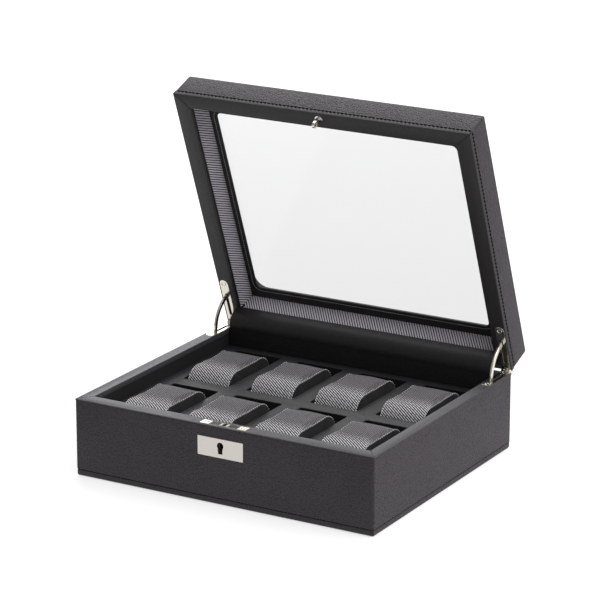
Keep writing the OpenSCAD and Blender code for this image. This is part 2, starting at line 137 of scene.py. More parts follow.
def new_material(name, hex_code, roughness, metallic=0.0, **more):
    """A Principled material with its constants set on the shader's own sockets."""
    mat = bpy.data.materials.new(name)
    mat.use_nodes = True
    mat.diffuse_color = colour(hex_code)
    shader = mat.node_tree.nodes["Principled BSDF"]
    values = {"Base_Color": colour(hex_code), "Roughness": roughness, "Metallic": metallic, **more}
    for key, value in values.items():
        shader.inputs[key.replace("_", " ")].default_value = value
    return mat, mat.node_tree, shader


def ramp(tree, factor, stops):
    """A colour ramp with (position, hex) stops."""
    node = add(tree, "ShaderNodeValToRGB", Fac=factor)
    elements = node.color_ramp.elements
    while len(elements) < len(stops):
        elements.new(0.5)
    for element, (position, hex_code) in zip(elements, stops):
        element.position = position
        element.color = colour(hex_code)
    return node.outputs["Color"]


# %% [markdown]
# ## Leather
# Calf leather with a pressed pebble grain has round islands about a millimetre across with
# a fine net of creases between them. A Voronoi texture gives the islands and a noise
# breaks them up. Both read Object coordinates, so the grain keeps its real size on
# every piece. The grain is drawn a little coarser than life so that it shows.

# %% Leather materials
CREASE_MM = 0.35         # fine wrinkles inside a pebble
BLOTCH_MM = 28           # broad, faint changes of tone


def leather(name, light, dark, roughness, depth_mm, grain_mm):
    """Pressed leather: pebbles of one grain size, wrinkles, and creases painted slightly darker as painted
    shade.
    """
    mat, tree, shader = new_material(name, light, roughness, Specular_IOR_Level=0.34)
    place = add(tree, "ShaderNodeTexCoord").outputs["Object"]
    pebbles = add(tree, "ShaderNodeTexVoronoi", {"feature": "SMOOTH_F1"},
                  Vector=place, Scale=1 / (grain_mm * MM), Smoothness=0.35, Randomness=0.9)
    wrinkles = add(tree, "ShaderNodeTexNoise", Vector=place, Scale=1 / (CREASE_MM * MM),
                   Detail=3.0, Roughness=0.6)
    blotches = add(tree, "ShaderNodeTexNoise", Vector=place, Scale=1 / (BLOTCH_MM * MM), Detail=3.0)
    height = add(tree, "ShaderNodeMath", {"operation": "MULTIPLY_ADD"},
                 _0=wrinkles.outputs["Fac"], _1=0.25, _2=pebbles.outputs["Distance"])
    # tone: broad blotches of real tone, and darker towards each pebble's edge, a painted shade in the creases
    tone = add(tree, "ShaderNodeMath", {"operation": "MULTIPLY_ADD"},
               _0=blotches.outputs["Fac"], _1=0.35, _2=pebbles.outputs["Distance"])
    tree.links.new(ramp(tree, tone.outputs[0], [(0.25, light), (0.95, dark)]),
                   shader.inputs["Base Color"])
    bump = add(tree, "ShaderNodeBump", {"invert": True}, Strength=0.9,
               Distance=depth_mm * MM, Height=height.outputs[0])
    tree.links.new(bump.outputs[0], shader.inputs["Normal"])
    shine = add(tree, "ShaderNodeMapRange", Value=height.outputs[0],
                To_Min=roughness - 0.08, To_Max=roughness + 0.12)
    tree.links.new(shine.outputs[0], shader.inputs["Roughness"])
    return mat


pebbled_calf = leather("pebbled calf leather", "#352e35", "#1d191d", 0.48, 0.5, 1.4)
rim_calf = leather("smooth rim leather", "#3f3d41", "#2f2d31", 0.42, 0.10, 0.8)
# The lid rim, its binding and the deck are the base rim's smooth grey leather drawn darker: painted shade
# where less light reaches them
shaded_lid_rim_calf = leather("lid rim leather, painted shade", "#282527", "#1b191a", 0.48, 0.10, 0.8)
shaded_deck_calf = leather("tray top leather, painted shade", "#242225", "#171618", 0.5, 0.12, 0.8)
# The glass ledge is the skin's charcoal leather drawn near black: painted shade
shaded_ledge_calf = leather("ledge leather, painted shade", "#171617", "#0e0d0e", 0.5, 0.12, 0.9)
fold_calf = leather("thin fold leather", "#1f1c1d", "#141213", 0.42, 0.15, 1.0)
edge_dye = leather("edge-dyed leather", "#262527", "#1a191b", 0.3, 0.05, 0.9)
leathers = (pebbled_calf, rim_calf, shaded_lid_rim_calf, shaded_deck_calf, shaded_ledge_calf, fold_calf, edge_dye)
print("leathers:", ", ".join(mat.name for mat in leathers))

# %% [markdown]
# ## Woven fabric
# The cushion band is a heavy twill: raised lines of pale thread cross a dark ground on the
# diagonal, and each line is a row of long floats. Two waves in the cloth's own UV, which is
# laid out in metres, give the lines and the floats. Along the UV the lines are painted duller on the flat
# top, a painted shade, and brighter round the front roll, a painted highlight where they catch the light. The
# lid's lining is another cloth, whose cords are real geometry, so its own materials are plain; the ground
# between the cords is drawn near black, a painted shade.

# %% Fabric materials
TWILL_MM = 1.8           # one raised line to the next, drawn a little coarser than real so it shows
FLOAT_MM = 9.0           # one float along the line
FLOAT_LAG = 0.37         # each line's floats start this share of a float after the last line's
SLOPE_DEG = 35           # the floats' slope on the cloth
ROLL_START_MM, ROLL_END_MM = 52, 76  # round the pad: the painted shade of the flat top ends, the painted highlight of the front roll begins
TOP_SHADE_SHARE = 0.55       # how strong the lines are on the flat top, where they are painted duller as shade


def twill(name):
    """Diagonal twill in UV metres: pale floats on a dark ground."""
    mat, tree, shader = new_material(name, "#67646a", 0.8, Sheen_Weight=0.15,
                                     Sheen_Roughness=0.4, Specular_IOR_Level=0.35)
    uv = add(tree, "ShaderNodeUVMap", {"uv_map": "cloth"}).outputs[0]
    turned = add(tree, "ShaderNodeMapping", Vector=uv, Rotation=(0, 0, math.radians(SLOPE_DEG)))
    wobble = add(tree, "ShaderNodeTexNoise", Vector=uv, Scale=1 / (3 * MM), Detail=2.0)
    across = add(tree, "ShaderNodeSeparateXYZ", Vector=turned.outputs[0])
    lines = add(tree, "ShaderNodeMath", {"operation": "MULTIPLY"},
                _0=across.outputs["X"], _1=1 / (TWILL_MM * MM))
    line_index = add(tree, "ShaderNodeMath", {"operation": "FLOOR"}, _0=lines.outputs[0])
    line_wave = add(tree, "ShaderNodeMath", {"operation": "PINGPONG"}, _0=lines.outputs[0], _1=0.5)
    lag = add(tree, "ShaderNodeMath", {"operation": "MULTIPLY"}, _0=line_index.outputs[0], _1=FLOAT_LAG)
    run = add(tree, "ShaderNodeMath", {"operation": "MULTIPLY_ADD"},
              _0=across.outputs["Y"], _1=1 / (FLOAT_MM * MM), _2=lag.outputs[0])
    float_wave = add(tree, "ShaderNodeMath", {"operation": "PINGPONG"}, _0=run.outputs[0], _1=0.5)
    line_height = add(tree, "ShaderNodeMapRange", {"interpolation_type": "SMOOTHSTEP"},
                      Value=line_wave.outputs[0], From_Min=0.08, From_Max=0.42)
    float_height = add(tree, "ShaderNodeMapRange", {"interpolation_type": "SMOOTHSTEP"},
                       Value=float_wave.outputs[0], From_Min=0.0, From_Max=0.1, To_Min=0.55)
    weave = add(tree, "ShaderNodeMath", {"operation": "MULTIPLY"},
                _0=line_height.outputs[0], _1=float_height.outputs[0])
    round_pad = add(tree, "ShaderNodeSeparateXYZ", Vector=uv)
    # painted light: the twill is painted duller on the flat top as shade, and brighter round the front roll
    # as a highlight
    roll_light_and_top_shade = add(tree, "ShaderNodeMapRange", {"interpolation_type": "SMOOTHSTEP"},
               Value=round_pad.outputs["X"], From_Min=ROLL_START_MM * MM, From_Max=ROLL_END_MM * MM,
               To_Min=TOP_SHADE_SHARE)
    lit = add(tree, "ShaderNodeMath", {"operation": "MULTIPLY"}, _0=weave.outputs[0], _1=roll_light_and_top_shade.outputs[0])
    tone = add(tree, "ShaderNodeMath", {"operation": "MULTIPLY_ADD"},
               _0=wobble.outputs["Fac"], _1=0.22, _2=lit.outputs[0])
    stops = [(0.1, "#242225"), (0.6, "#565458"), (1.1, "#c0bfc3")]
    tree.links.new(ramp(tree, tone.outputs[0], stops), shader.inputs["Base Color"])
    bump = add(tree, "ShaderNodeBump", Strength=0.8, Distance=0.35 * MM,
               Height=weave.outputs[0])
    tree.links.new(bump.outputs[0], shader.inputs["Normal"])
    return mat


def napped(name, light, dark, fibre_mm, sheen):
    """Short pile or felt: a fine noise breaks the tone and the surface."""
    mat, tree, shader = new_material(name, light, 0.9, Sheen_Weight=sheen,
                                     Sheen_Roughness=0.5, Specular_IOR_Level=0.2)
    place = add(tree, "ShaderNodeTexCoord").outputs["Object"]
    fibres = add(tree, "ShaderNodeTexNoise", Vector=place, Scale=1 / (fibre_mm * MM), Detail=4.0)
    tree.links.new(ramp(tree, fibres.outputs["Fac"], [(0.3, dark), (0.7, light)]),
                   shader.inputs["Base Color"])
    bump = add(tree, "ShaderNodeBump", Strength=0.5, Distance=0.15 * MM,
               Height=fibres.outputs["Fac"])
    tree.links.new(bump.outputs[0], shader.inputs["Normal"])
    return mat


def thread(name, light, dark, gloss=0.4):
    """Waxed sewing thread: two tones that follow the twist."""
    mat, tree, shader = new_material(name, light, 0.6, Specular_IOR_Level=gloss)
    place = add(tree, "ShaderNodeTexCoord").outputs["Object"]
    twist = add(tree, "ShaderNodeTexWave", {"bands_direction": "DIAGONAL"},
                Vector=place, Scale=1 / (0.8 * MM), Distortion=0.6)
    tree.links.new(ramp(tree, twist.outputs["Fac"], [(0.2, dark), (0.8, light)]),
                   shader.inputs["Base Color"])
    return mat


band_twill = twill("cushion twill")
side_cloth = napped("cushion side cloth", "#1c1a1c", "#111012", 0.5, 0.05)
velour = napped("black velour", "#151416", "#0a0a0b", 0.4, 0.05)
felt = napped("underside felt", "#1d1c1e", "#111012", 0.6, 0.1)
cord_cloth = napped("lining cord", "#c6c1c9", "#9b97a0", 0.35, 0.05)
# the lining between the cords is drawn near black: painted shade between them
cord_gap_shade = napped("lining between cords, painted shade", "#2a282b", "#1c1a1d", 0.4, 0.0)
pale_thread = thread("pale waxed thread", "#d6d4d1", "#a5a3a1")
black_thread = thread("black waxed thread", "#080808", "#030303", 0.08)
print("cloths:", band_twill.name, side_cloth.name, velour.name, felt.name, cord_cloth.name, sep=", ")

# %% [markdown]
# ## Metal, glass and board
# The fittings are brass with a nickel plate: polished on the hinges and the catch, satin on the lock's top
# plate, and brushed, so duller, on the escutcheon, whose plate is also drawn greyer and darker as painted
# shade. The glass is float glass: clear, with a breath of blue-grey. It is made with alpha and not with
# refraction, because a flat pane shifts what is behind it too little to see. The hidden boards are fibreboard
# drawn near black, and only show if a piece is taken off; where one shows through a gap, its dark is painted
# shade.

# %% Hard materials
def nickel(name, tone, roughness, grain_strength):
    """Plated metal with faint rubbing marks."""
    mat, tree, shader = new_material(name, tone, roughness, metallic=1.0)
    place = add(tree, "ShaderNodeTexCoord").outputs["Object"]
    rubbed = add(tree, "ShaderNodeMapping", Vector=place, Scale=(60, 900, 900))
    marks = add(tree, "ShaderNodeTexNoise", Vector=rubbed.outputs[0], Scale=3.0, Detail=3.0)
    shine = add(tree, "ShaderNodeMapRange", Value=marks.outputs["Fac"],
                To_Min=roughness * 0.7, To_Max=roughness * 1.4)
    tree.links.new(shine.outputs[0], shader.inputs["Roughness"])
    bump = add(tree, "ShaderNodeBump", Strength=grain_strength, Distance=0.02 * MM,
               Height=marks.outputs["Fac"])
    tree.links.new(bump.outputs[0], shader.inputs["Normal"])
    return mat


def fibreboard(name):
    """Fibreboard drawn dark with paler flecks; where it shows through a gap its dark is painted shade."""
    mat, tree, shader = new_material(name, "#2c2621", 0.85)
    place = add(tree, "ShaderNodeTexCoord").outputs["Object"]
    flecks = add(tree, "ShaderNodeTexNoise", Vector=place, Scale=1 / (0.9 * MM), Detail=4.0)
    tree.links.new(ramp(tree, flecks.outputs["Fac"], [(0.35, "#211c18"), (0.65, "#39312a")]),
                   shader.inputs["Base Color"])
    return mat


def float_glass(name):
    """Clear flat glass, seen through by alpha; a very fine waviness moves its reflections."""
    mat, tree, shader = new_material(name, "#2b3948", 0.03, Alpha=0.19, IOR=1.5)
    place = add(tree, "ShaderNodeTexCoord").outputs["Object"]
    waves = add(tree, "ShaderNodeTexNoise", Vector=place, Scale=1 / (90 * MM), Detail=1.0)
    bump = add(tree, "ShaderNodeBump", Strength=0.05, Distance=0.5 * MM,
               Height=waves.outputs["Fac"])
    tree.links.new(bump.outputs[0], shader.inputs["Normal"])
    return mat


polished_nickel = nickel("polished nickel plate", "#d9d4c8", 0.16, 0.15)
satin_nickel = nickel("satin nickel plate", "#d9d4c8", 0.3, 0.3)
# the escutcheon's nickel is drawn greyer and darker than the other plating: painted shade
brushed_shaded_nickel = nickel("brushed nickel plate, painted shade", "#c8c3bd", 0.34, 0.4)
# the boards are drawn near black: painted shade where they show through gaps
raw_board = fibreboard("dark fibreboard, painted shade in gaps")
clear_glass = float_glass("float glass")
hard = (polished_nickel, satin_nickel, brushed_shaded_nickel, raw_board, clear_glass)
print("hard materials:", ", ".join(mat.name for mat in hard))

# %% [markdown]
# ## Camera, light and floor
# A long lens from the front right, a little above the box, keeps its edges almost
# parallel. The light is one very wide soft source high on the right, so level faces are
# brightest, the right side comes next and the front is darkest. A panel behind and one on
# the right trace the metal and the leather's edges. The paper floor glows a little by
# itself, which keeps it white under the box and behind the glass. The world looks white to
# the camera but lights the box much less.

# %% Stage
CAMERA_AZIMUTH, CAMERA_ELEVATION = 30.16, 17.21
CAMERA_AT = (1.2870, -2.2079, 0.9380)
LENS = 188.4
LIT_POINT = Vector((0, 0, 0.1))  # the panels look at the middle of the box
FLOOR_HALF = 6.0
SEEN_WHITE, FILL_LIGHT = 1.05, 0.33  # the world's strength to the camera and to the box

scene = bpy.context.scene
scene.view_settings.view_transform = "Standard"


def aim(azimuth, elevation):
    """Unit vector from the object back to a viewer at this azimuth and elevation."""
    a, e = math.radians(azimuth), math.radians(elevation)
    return Vector((math.sin(a) * math.cos(e), -math.cos(a) * math.cos(e), math.sin(e)))


def aimed(name, data, azimuth, elevation, place):
    """A camera or lamp at a place, looking back along this azimuth and elevation."""
    thing = bpy.data.objects.new(name, data)
    thing.location = place
    thing.rotation_mode = "QUATERNION"
    thing.rotation_quaternion = (-aim(azimuth, elevation)).to_track_quat("-Z", "Y")
    scene.collection.objects.link(thing)
    return thing


def soft_panel(name, azimuth, elevation, distance, size, watts):
    """A round area light that looks at the middle of the box."""
    lamp = bpy.data.lights.new(name, "AREA")
    lamp.shape = "DISK"
    lamp.size = size
    lamp.energy = watts
    aimed(name, lamp, azimuth, elevation, LIT_POINT + aim(azimuth, elevation) * distance)


camera = aimed("camera", bpy.data.cameras.new("camera"), CAMERA_AZIMUTH, CAMERA_ELEVATION, CAMERA_AT)
camera.data.lens = LENS
scene.camera = camera
sky = bpy.data.lights.new("wide_sky", "SUN")
sky.energy = 3.1
sky.angle = math.radians(80)
aimed("wide_sky", sky, 105, 68, (0, 0, 0))
soft_panel("back_panel", 212, 34, distance=2.2, size=2.0, watts=30)
soft_panel("right_panel", 95, 25, distance=1.8, size=1.0, watts=9)

room = bpy.data.worlds.new("room")
room.use_nodes = True
seen = room.node_tree.nodes["Background"]
seen.inputs["Color"].default_value = (1, 1, 1, 1)
seen.inputs["Strength"].default_value = SEEN_WHITE
fill = add(room.node_tree, "ShaderNodeBackground", Color=(1, 1, 1, 1), Strength=FILL_LIGHT)
ray = add(room.node_tree, "ShaderNodeLightPath")
both = add(room.node_tree, "ShaderNodeMixShader", Fac=ray.outputs["Is Camera Ray"],
           _1=fill.outputs[0], _2=seen.outputs[0])
room.node_tree.links.new(both.outputs[0], room.node_tree.nodes["World Output"].inputs["Surface"])
scene.world = room

floor_mesh = bpy.data.meshes.new("floor")
floor_mesh.from_pydata([(x * FLOOR_HALF, y * FLOOR_HALF, 0) for x, y in ((-1, -1), (1, -1), (1, 1), (-1, 1))],
                       [], [(0, 1, 2, 3)])
floor = bpy.data.objects.new("floor", floor_mesh)
sweep, _, _ = new_material("pale paper sweep", "#9e9e9e", 0.9, Specular_IOR_Level=0.1,
                           Emission_Color=(1, 1, 1, 1), Emission_Strength=0.64)
floor_mesh.materials.append(sweep)
scene.collection.objects.link(floor)
print("camera at", tuple(round(x, 3) for x in camera.location))

# %% [markdown]
# ## How the leather pieces are built
# A covered box is mostly closed rings: the skin round the sides, the strip on a rim, the
# ledge round the glass. Each ring is a short list of cross-section rows, and every row is
# one loop round the box. Joining row to row gives a clean closed shell whose rolled
# edges are real geometry. `ring` makes a smooth ring with rounded corners, and
# `mitred_ring` makes four strips that meet in a mitre, as a cut leather strip does.

# %% Mesh helpers
SHARP_DEG = 40           # an edge that bends more than this shows as an edge
WELD = 0.001             # points closer than this, in millimetres, are one


def outward_mesh(name, build, opened=False):
    """A closed shape in millimetres becomes a mesh in metres, normals outwards."""
    bmesh.ops.recalc_face_normals(build, faces=build.faces)
    mesh = bpy.data.meshes.new(name)
    build.to_mesh(mesh)
    build.free()
    if opened:
        mesh.transform(opening)
    mesh.transform(Matrix.Scale(MM, 4))
    return mesh


def show(name, mesh, materials, sharp_deg=SHARP_DEG):
    """Links a finished mesh to the scene with its materials and shading."""
    if not mesh.materials:
        for mat in materials:
            mesh.materials.append(mat)
    mesh.shade_smooth()
    mesh.set_sharp_from_angle(angle=math.radians(sharp_deg))
    piece = bpy.data.objects.new(name, mesh)
    scene.collection.objects.link(piece)
    return piece


def baked(piece):
    """Turns the piece with its modifiers into a plain mesh."""
    graph = bpy.context.evaluated_depsgraph_get()
    mesh = bpy.data.meshes.new_from_object(piece.evaluated_get(graph))
    piece.modifiers.clear()
    piece.data = mesh
    return piece


def finish(piece, body, slot, *nodes):
    """The closing calls that every finished piece needs."""
    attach(piece, body)
    if nodes:
        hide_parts(*nodes)
    print(f"{piece.name}: {len(piece.data.polygons)} faces on {body}")
    return piece


def rounded_loop(half_x, half_y, r, z, steps=6):
    """One loop round the box, anticlockwise from above, with rounded corners."""
    loop = []
    for turn, (sx, sy) in enumerate([(1, -1), (1, 1), (-1, 1), (-1, -1)]):
        for i in range(steps + 1):
            a = math.radians(-90 + 90 * turn + 90 * i / steps)
            loop.append((sx * (half_x - r) + r * math.cos(a),
                         sy * (half_y - r) + r * math.sin(a), z))
    return loop


def to_piece(name, verts, faces, materials, opened=False):
    """Builds a closed shape from points and faces in millimetres."""
    build = bmesh.new()
    made = [build.verts.new(v) for v in verts]
    for f in faces:
        build.faces.new([made[i] for i in f])
    bmesh.ops.remove_doubles(build, verts=build.verts, dist=WELD)
    return show(name, outward_mesh(name, build, opened), materials)


def join_rows(rows, closed=True):
    """Faces between rows of equal length; each row is itself a closed loop."""
    n = len(rows[0])
    verts = [p for row in rows for p in row]
    faces = []
    for i in range(len(rows) - (0 if closed else 1)):
        a, b = i * n, (i + 1) % len(rows) * n
        faces += [(a + j, a + (j + 1) % n, b + (j + 1) % n, b + j) for j in range(n)]
    return verts, faces


def ring(name, rows, mat, opened=False):
    """A closed ring of leather from rows of (half_x, half_y, corner radius, z)."""
    verts, faces = join_rows([rounded_loop(*row) for row in rows])
    return to_piece(name, verts, faces, [mat], opened)


def mitred_ring(name, rows, outer, width, mat, opened=False, seam=0.13, roll=0.3):
    """Four mitred strips. A row is (share of the width, extra inset, z)."""
    build = bmesh.new()
    for side in range(4):
        ends = []
        for end in (0, 1):
            line = []
            for share, extra, z in rows:
                x = outer[0] - share * width[0] - extra
                y = outer[1] - share * width[1] - extra
                corners = [(-x, -y), (x, -y), (x, y), (-x, y)]
                here, there = corners[(side + end) % 4], corners[(side + 1 - end) % 4]
                along = (Vector(there) - Vector(here)).normalized() * seam
                line.append(build.verts.new((here[0] + along.x, here[1] + along.y, z)))
            ends.append(line)
        n = len(rows)
        for i in range(n):
            j = (i + 1) % n
            build.faces.new([ends[0][i], ends[1][i], ends[1][j], ends[0][j]])
        caps = [build.faces.new(ends[0]), build.faces.new(list(reversed(ends[1])))]
        edges = [e for cap in caps for e in cap.edges]
        bmesh.ops.bevel(build, geom=edges, offset=roll, segments=2, affect="EDGES",
                        clamp_overlap=True)
    return show(name, outward_mesh(name, build, opened), [mat])


def solid(name, outline, depth, matrix):
    """A prism in millimetres from a flat outline, used as a cutter; depth runs along local +Z."""
    n = len(outline)
    verts = [(x, y, z) for z in (0, depth) for x, y in outline]
    faces = [tuple(range(n))[::-1], tuple(range(n, 2 * n))]
    faces += [(i, (i + 1) % n, n + (i + 1) % n, n + i) for i in range(n)]
    mesh = bpy.data.meshes.new(name)
    mesh.from_pydata([matrix @ Vector(v) for v in verts], [], faces)
    return bpy.data.objects.new(name, mesh)


def cut(piece, cutters):
    """Cuts the shapes out of a piece for good. Booleans are sounder in millimetres."""
    piece.data.transform(Matrix.Scale(1 / MM, 4))
    for cutter in cutters:
        scene.collection.objects.link(cutter)
        mod = piece.modifiers.new("cut", "BOOLEAN")
        mod.operation = "DIFFERENCE"
        mod.solver = "MANIFOLD"
        mod.object = cutter
    baked(piece)
    for cutter in cutters:
        bpy.data.objects.remove(cutter)
    piece.data.transform(Matrix.Scale(MM, 4))
    piece.data.set_sharp_from_angle(angle=math.radians(SHARP_DEG))


def disc(r, at=(0, 0), steps=32, start=0, turn=360):
    """Points along a circle or an arc."""
    count = steps if turn == 360 else steps + 1
    angles = [math.radians(start + turn * i / steps) for i in range(count)]
    return [(at[0] + r * math.cos(a), at[1] + r * math.sin(a)) for a in angles]


def rectangle(low, high, play=0.0):
    """The corners of a flat rectangle, anticlockwise, with play all round."""
    return [(low.x - play, low.y - play), (high.x + play, low.y - play),
            (high.x + play, high.y + play), (low.x - play, high.y + play)]


print("edges that bend over", SHARP_DEG, "degrees stay sharp")


# %% [markdown]
# ## Cutters for the fittings
# The hinge leaves and the lock's top plate lie flush in the leather, so the rim strips
# need exact recesses. The outlines come from the CAD boxes of those fittings, and a hair
# of play leaves the thin dark line that an inlaid plate has.

# %% Recess cutters
PLAY = 0.12              # the thin dark line round an inlaid plate
LEAF_DEEP = 1.75
BARREL_ROOM = 3.9        # radius of the hollow that each hinge barrel turns in


def leaf_cutter(node, measured, z):
    """The outline of a hinge leaf: straight sides and one round end."""
    lo, hi = measured(node)
    r = (hi.x - lo.x) / 2 + PLAY
    x, end = (lo.x + hi.x) / 2, lo.y + (hi.x - lo.x) / 2
    past = hi.y + 3
    outline = disc(r, (x, end), 20, 180, 180) + [(x + r, past), (x - r, past)]
    return solid("leaf_cut", outline, 2 * LEAF_DEEP, Matrix.Translation((0, 0, z)))


def barrel_cutters():
    """Room for the hinge barrels, which stand at the back edge of both rims."""
    made = []
    for node in ("left_base_leaf", "right_base_leaf"):
        lo, hi = node_box(node)
        across = Matrix.Translation((lo.x - PLAY, hinge_at.y, hinge_at.z))
        across = across @ Matrix.Rotation(math.radians(90), 4, "Y")
        made.append(solid("barrel_cut", disc(BARREL_ROOM), hi.x - lo.x + 2 * PLAY, across))
    return made


def base_rim_cutters():
    """The leaves, the barrels and the lock's top plate."""
    leaves = [leaf_cutter(n, node_box, rim_z - LEAF_DEEP) for n in ("left_base_leaf", "right_base_leaf")]
    lo, hi = node_box("lock_selvedge")
    plate = solid("plate_cut", rectangle(lo, hi, PLAY), 2 * LEAF_DEEP, Matrix.Translation((0, 0, lo.z)))
    return leaves + barrel_cutters() + [plate]


def lid_rim_cutters():
    """The leaves' outlines turned into the open lid, and the barrels."""
    made = [leaf_cutter(n, shut_box, lid_rim_z - LEAF_DEEP) for n in ("left_lid_leaf", "right_lid_leaf")]
    for cutter in made:
        cutter.data.transform(opening)
    return made + barrel_cutters()


# %% [markdown]
# ## The base's skin
# One sheet of pebbled leather wraps the four sides. It stops in a sewn groove 6 mm above
# the floor, where a narrow foot band begins and rolls under the bottom edge. The top edge
# of the sheet is rolled too, and the rim strip sits on it, so a thin shadow line runs
# round the rim. Both rings come straight from rows of numbers.

# %% Outer skin and foot band
SEAM_Z = 6.0
EDGE = 0.45              # the rolled edge of the sheet
CORNER_R, LEAST_R = 2.0, 0.35
KEY_UP = 10.5            # middle of the keyhole above the plate's lower edge
KEY_R, KEY_SLOT = 3.0, ((-2.2, -0.5), (2.2, 6.8))


def inset_row(inset, z):
    """A row of the base's skin, this far in from the outside."""
    return (half_w - inset, half_d - inset, max(CORNER_R - inset, LEAST_R), z)


skin_rows = [(1.0, SEAM_Z + 0.2), (0.75, SEAM_Z + 0.2), (0.25, SEAM_Z + 0.4), (0.05, SEAM_Z + 0.75),
             (0.0, SEAM_Z + 1.2), (0.0, skin_top - EDGE), (EDGE * 0.3, skin_top - EDGE * 0.3),
             (EDGE, skin_top), (1.0, skin_top)]
base_skin = ring("base_skin", [inset_row(i, z) for i, z in skin_rows], pebbled_calf)
plate_lo = node_box("escutcheon")[0]
to_the_back = Matrix.Translation((0, plate_lo.y - 2, plate_lo.z + KEY_UP))
to_the_back = to_the_back @ Matrix.Rotation(math.radians(-90), 4, "X")
key_round = solid("key_round", disc(KEY_R, steps=24), 12, to_the_back)
key_slot = solid("key_slot", rectangle(*(Vector(c) for c in KEY_SLOT)), 12, to_the_back)
cut(base_skin, barrel_cutters() + [key_round, key_slot])
finish(base_skin, "base", "charcoal_leather", "base_leather")

foot_rows = [(1.0, SEAM_Z - 0.15), (0.8, SEAM_Z - 0.15), (0.4, SEAM_Z - 0.3), (0.3, SEAM_Z - 0.8),
             (0.3, 2.2), (0.5, 1.35), (1.0, 0.75), (1.8, 0.4), (3.6, 0.4), (3.6, 0.95), (1.02, 0.95)]
foot_band = ring("foot_band", [inset_row(i, z) for i, z in foot_rows], pebbled_calf)
finish(foot_band, "base", "charcoal_leather")

# %% [markdown]
# ## The base's rim
# A strip of smooth leather is folded over the top of the walls, cut in four lengths that
# meet in mitres, and let in for the hinge leaves and the lock's top plate.

# %% Rim strip
rim_width = (half_w - inner_x, half_d - inner_y)
rim_rows = [(0, 0.35, skin_top + 0.02), (0, 0.08, skin_top + 0.1), (0, 0.0, skin_top + 0.35),
            (0, 0.0, rim_z - 0.45), (0, 0.12, rim_z - 0.15),
            (0, 0.45, rim_z), (1, -0.7, rim_z), (1, -0.2, rim_z - 0.2), (1, 0.05, rim_z - 0.7),
            (1, 0.05, rim_z - 4.5), (1, -0.5, rim_z - 4.5), (1, -0.6, skin_top + 0.02)]
rim_strip = mitred_ring("rim_strip", rim_rows, (half_w, half_d), rim_width, rim_calf)
cut(rim_strip, base_rim_cutters())
finish(rim_strip, "base", "smooth_grey_leather", "rim_leather")

# %% [markdown]
# ## Hard parts with softened edges
# The CAD solids of the metal parts have the right shape, but their edges are knife sharp
# and no real plate catches light like that. `softened` copies a CAD mesh, merges its loose
# triangles, clears the flat faces and bevels only the hard edges. The copy stands for
# the node and the node itself is never touched.

# %% Softened copies of CAD parts
def softened(node, body, mat, slot, bevel, segments=2, hard_deg=32):
    """A bevelled copy of a CAD node, on the same body; the bevel is in millimetres."""
    build = bmesh.new()
    build.from_mesh(frame["nodes"][node].data)
    bmesh.ops.remove_doubles(build, verts=build.verts, dist=0.002 * MM)
    bmesh.ops.dissolve_limit(build, angle_limit=math.radians(1), verts=build.verts,
                             edges=build.edges)
    hard = [e for e in build.edges
            if len(e.link_faces) == 2 and e.calc_face_angle(0) > math.radians(hard_deg)]
    bmesh.ops.bevel(build, geom=hard, offset=bevel * MM, segments=segments, affect="EDGES",
                    clamp_overlap=True, miter_outer="ARC")
    bmesh.ops.triangulate(build, faces=[f for f in build.faces if len(f.verts) > 4])
    mesh = bpy.data.meshes.new(node)
    build.to_mesh(mesh)
    build.free()
    piece = show("made_" + node, mesh, [mat])
    flat = piece.modifiers.new("flat", "WEIGHTED_NORMAL")
    flat.keep_sharp = True
    flat.weight = 100
    baked(piece)
    return finish(piece, body, slot, node)


for side in ("left", "right"):
    softened(f"{side}_base_leaf", "base", polished_nickel, "nickel_plate", 0.16)
    softened(f"{side}_lid_leaf", "lid", polished_nickel, "nickel_plate", 0.16)
    softened(f"{side}_stay", f"{side}_stay", polished_nickel, "nickel_plate", 0.25, 3)
softened("escutcheon", "base", brushed_shaded_nickel, "nickel_plate", 0.22, 3)
softened("lock_selvedge", "base", satin_nickel, "nickel_plate", 0.16)
softened("lock_bolt", "lock_bolt", satin_nickel, "nickel_plate", 0.2)
softened("catch_plate", "lid", polished_nickel, "nickel_plate", 0.35, 3)
softened("catch_staple", "lid", polished_nickel, "nickel_plate", 0.5, 3)

# %% [markdown]
# ## The tray's deck
# The deck is one sheet of leather with eight openings whose edges are turned down. A flat
# 2D curve fits this well: its outer outline and the eight holes are splines, Blender fills
# between them, and the curve's own bevel rolls every edge at once.

# %% Deck
ROLL = 0.4
DECK_T = 1.0
POCKET_R = 2.0
POCKET_Y = 53.7          # middle of a row of pockets, from the middle of the box
POCKET_HALF = (23.25, 46.0)
cushion_nodes = [f"cushion_{row}_{i}" for row in ("back", "front") for i in range(1, 5)]
pockets = []
for node in cushion_nodes:
    lo, hi = node_box(node)
    side = 1 if node.startswith("cushion_back") else -1
    pockets.append(((lo.x + hi.x) / 2, side * POCKET_Y))

sheet_curve = bpy.data.curves.new("tray_deck", "CURVE")
sheet_curve.dimensions = "2D"
sheet_curve.fill_mode = "BOTH"
sheet_curve.extrude = DECK_T / 2 - ROLL
sheet_curve.bevel_depth = ROLL
sheet_curve.bevel_resolution = 2
sheet_curve.offset = -ROLL
outlines = [rounded_loop(inner_x, inner_y, 0.5, 0, 2)]
for cx, cy in pockets:
    outlines.append([(cx + x, cy + y, 0) for x, y, _ in rounded_loop(*POCKET_HALF, POCKET_R, 0, 4)])
for outline in outlines:
    spline = sheet_curve.splines.new("POLY")
    spline.points.add(len(outline) - 1)
    for point, at in zip(spline.points, outline):
        point.co = (at[0], at[1], 0, 1)
    spline.use_cyclic_u = True
flat_sheet = bpy.data.objects.new("tray_deck_curve", sheet_curve)
scene.collection.objects.link(flat_sheet)
graph = bpy.context.evaluated_depsgraph_get()
deck_mesh = bpy.data.meshes.new_from_object(flat_sheet.evaluated_get(graph))
